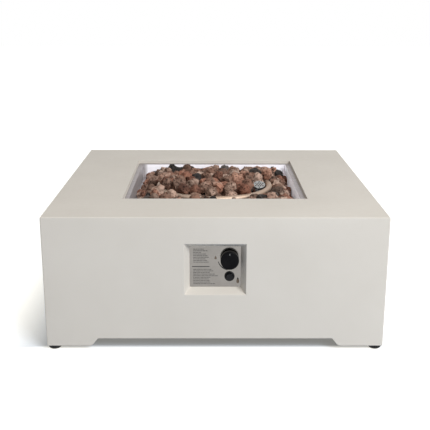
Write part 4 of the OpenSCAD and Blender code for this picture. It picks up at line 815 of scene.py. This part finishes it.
def lava(name, dark, middle, light, warm):
    """Porous rock: a tone for each lump, clouds of colour, and painted shade in its pores and hollows."""
    material, tree, shader = blank(name, IOR=1.5, Specular_IOR_Level=0.2)
    tone = add(tree, "ShaderNodeAttribute", attribute_name="tone").outputs["Fac"]
    warmth = add(tree, "ShaderNodeAttribute", attribute_name="warmth").outputs["Fac"]
    clouds = times(tree, speckle(tree, 60, 5), times(tree, tone, 0.6), "ADD")
    colour = ramp(tree, clouds, (0.40, dark), (0.78, middle), (1.0, light))
    blush = times(tree, times(tree, warmth, 0.8), between(tree, speckle(tree, 28), 0.2, 1.0))
    mixed = add(tree, "ShaderNodeMix", {0: blush, 6: colour, 7: (*warm, 1)}, data_type="RGBA").outputs[2]
    coords = add(tree, "ShaderNodeTexCoord").outputs["Object"]
    noise = {"Vector": coords, "Scale": bend_scale, "Detail": 3.0}
    bends = add(tree, "ShaderNodeTexNoise", noise).outputs["Color"]
    bent = add(tree, "ShaderNodeVectorMath", {0: bends, 1: (pore_bend,) * 3, 2: coords},
               operation="MULTIPLY_ADD").outputs[0]
    cells = add(tree, "ShaderNodeTexVoronoi", {"Vector": bent, "Scale": pore_scale}).outputs["Distance"]
    pores = times(tree, cells, between(tree, speckle(tree, 45), 0.16, -0.20), "ADD")
    # Painted shade: the pores, and the low hollows read from the stored height, are darkened.
    pore_shade = ramp(tree, pores, (0.12, (0.13, 0.11, 0.10)), (0.42, (1.0, 1.0, 1.0)))
    height = add(tree, "ShaderNodeAttribute", attribute_name="height").outputs["Fac"]
    height = times(tree, height, 0.5, "ADD")
    hollow_shade = ramp(tree, height, (0.05, (0.30, 0.28, 0.27)), (0.55, (1.0, 1.0, 1.0)))
    roughened = times(tree, pores, times(tree, speckle(tree, 520, 4), 0.6), "ADD")
    feed(tree, shader, {
        "Base Color": shaded(tree, shaded(tree, mixed, pore_shade), hollow_shade),
        "Roughness": between(tree, speckle(tree, 200), 0.80, 0.95),
        "Normal": relief(tree, roughened, skin_depth),
    })
    return material


lava_kinds = (
    ("brown", (0.08, 0.053, 0.042), (0.23, 0.156, 0.121), (0.56, 0.410, 0.333), (0.35, 0.172, 0.117)),
    ("rust", (0.09, 0.046, 0.034), (0.24, 0.119, 0.082), (0.52, 0.300, 0.219), (0.35, 0.142, 0.093)),
    ("charcoal", (0.012, 0.011, 0.011), (0.040, 0.036, 0.035), (0.13, 0.115, 0.110), (0.08, 0.057, 0.047)),
)
brown_lava = lava("lava_brown", *lava_kinds[0][1:])
close_tree(tree, rocks, brown_lava)
for kind, *colours in lava_kinds:
    skin = brown_lava if kind == "brown" else lava("lava_" + kind, *colours)
    node = "lava_rocks_" + kind
    heap = grown(merged(node), tree, rock_sizes, skin)
    heap.shade_smooth()
    place("rocks_" + kind, heap, node)

# Studio: a cool grey floor that glows white away from the table, soft light from all round, and a large
# lamp high at the front right. A low strip lamp behind the table keeps its far sides out of the dark.
# Only the camera and the metal see the white; the light on the object stays at a plain level.
floor_reach = 12
floor_drop = 0.5 * mm
floor_work = bmesh.new()
bmesh.ops.create_grid(floor_work, x_segments=1, y_segments=1, size=floor_reach)
bmesh.ops.translate(floor_work, verts=floor_work.verts, vec=(0, 0, -floor_drop))
floor_mesh = bpy.data.meshes.new("floor")
floor_work.to_mesh(floor_mesh)
floor_work.free()
floor = bpy.data.objects.new("floor", floor_mesh)
bpy.context.scene.collection.objects.link(floor)


def seen_as_white(tree):
    """One for what the camera sees, directly or in metal and glass, and nought for light on the object."""
    path = add(tree, "ShaderNodeLightPath").outputs
    seen = times(tree, path["Is Camera Ray"], path["Is Glossy Ray"], "MAXIMUM")
    return times(tree, seen, path["Is Transmission Ray"], "MAXIMUM")


floor_paint, tree, shader = blank("pale_floor", Roughness=0.9)
shader.inputs["Base Color"].default_value = (0.46, 0.52, 0.615, 1)
shade_glow = 0.20
open_glow = 0.90
floor_fades = (("X", -0.415, -0.60), ("X", 0.41, 0.47), ("Y", -0.414, -0.442), ("Y", 0.415, 0.60))
coords = add(tree, "ShaderNodeTexCoord").outputs["Object"]
spot = add(tree, "ShaderNodeSeparateXYZ", {"Vector": coords}).outputs
glow = shade_glow
for axis, start, end in floor_fades:
    fade = add(tree, "ShaderNodeMapRange", {
        "Value": spot[axis], "From Min": start, "From Max": end, "To Max": open_glow}).outputs[0]
    glow = times(tree, fade, glow, "MAXIMUM")
lift = add(tree, "ShaderNodeEmission", {
    "Color": (1.0, 0.965, 0.87, 1), "Strength": times(tree, seen_as_white(tree), glow)})
both = add(tree, "ShaderNodeAddShader", {0: shader.outputs[0], 1: lift.outputs[0]})
tree.links.new(both.outputs[0], tree.nodes["Material Output"].inputs["Surface"])
floor_mesh.materials.append(floor_paint)

world = bpy.data.worlds.new("studio")
bpy.context.scene.world = world
world.use_nodes = True
tree = world.node_tree
room_light = add(tree, "ShaderNodeBackground", {"Color": (1.0, 0.945, 0.880, 1), "Strength": 0.36})
white = add(tree, "ShaderNodeBackground", {"Color": (1, 1, 1, 1), "Strength": 1.0})
room = add(tree, "ShaderNodeMixShader", {
    0: seen_as_white(tree), 1: room_light.outputs[0], 2: white.outputs[0]})
tree.links.new(room.outputs[0], tree.nodes["World Output"].inputs["Surface"])

aim = Vector((0, 0, 0.2))
lamps = (("key", Vector((2.9, -3.9, 3.9)), 2.6, 2.6, 310.0),
         ("back_fill", Vector((-3.2, 3.2, 0.2)), 2.6, 0.28, 80.0))
for name, at, wide, tall, energy in lamps:
    lamp = bpy.data.lights.new(name, "AREA")
    lamp.shape = "RECTANGLE"
    lamp.size, lamp.size_y = wide, tall
    lamp.energy = energy
    lamp.color = (0.985, 0.995, 1.0)
    holder = bpy.data.objects.new(name, lamp)
    holder.location = at
    holder.rotation_euler = (aim - at).to_track_quat("-Z", "Y").to_euler()
    holder.visible_camera = False
    bpy.context.scene.collection.objects.link(holder)

lens = bpy.data.cameras.new("photo_view")
lens.sensor_fit = "HORIZONTAL"
lens.sensor_width = 36
lens.lens = 65.33
camera = bpy.data.objects.new("photo_view", lens)
bpy.context.scene.collection.objects.link(camera)
camera_at = Vector((-0.0125, -2.3682, 0.9195))
look_down = 15.807
yaw, pitch, roll = (math.radians(a) for a in (-0.346, 90 - look_down, 0.143))
camera.matrix_world = (Matrix.Translation(camera_at) @ Matrix.Rotation(yaw, 4, "Z")
                       @ Matrix.Rotation(pitch, 4, "X") @ Matrix.Rotation(roll, 4, "Z"))
bpy.context.scene.camera = camera
bpy.context.scene.view_settings.view_transform = "Standard"
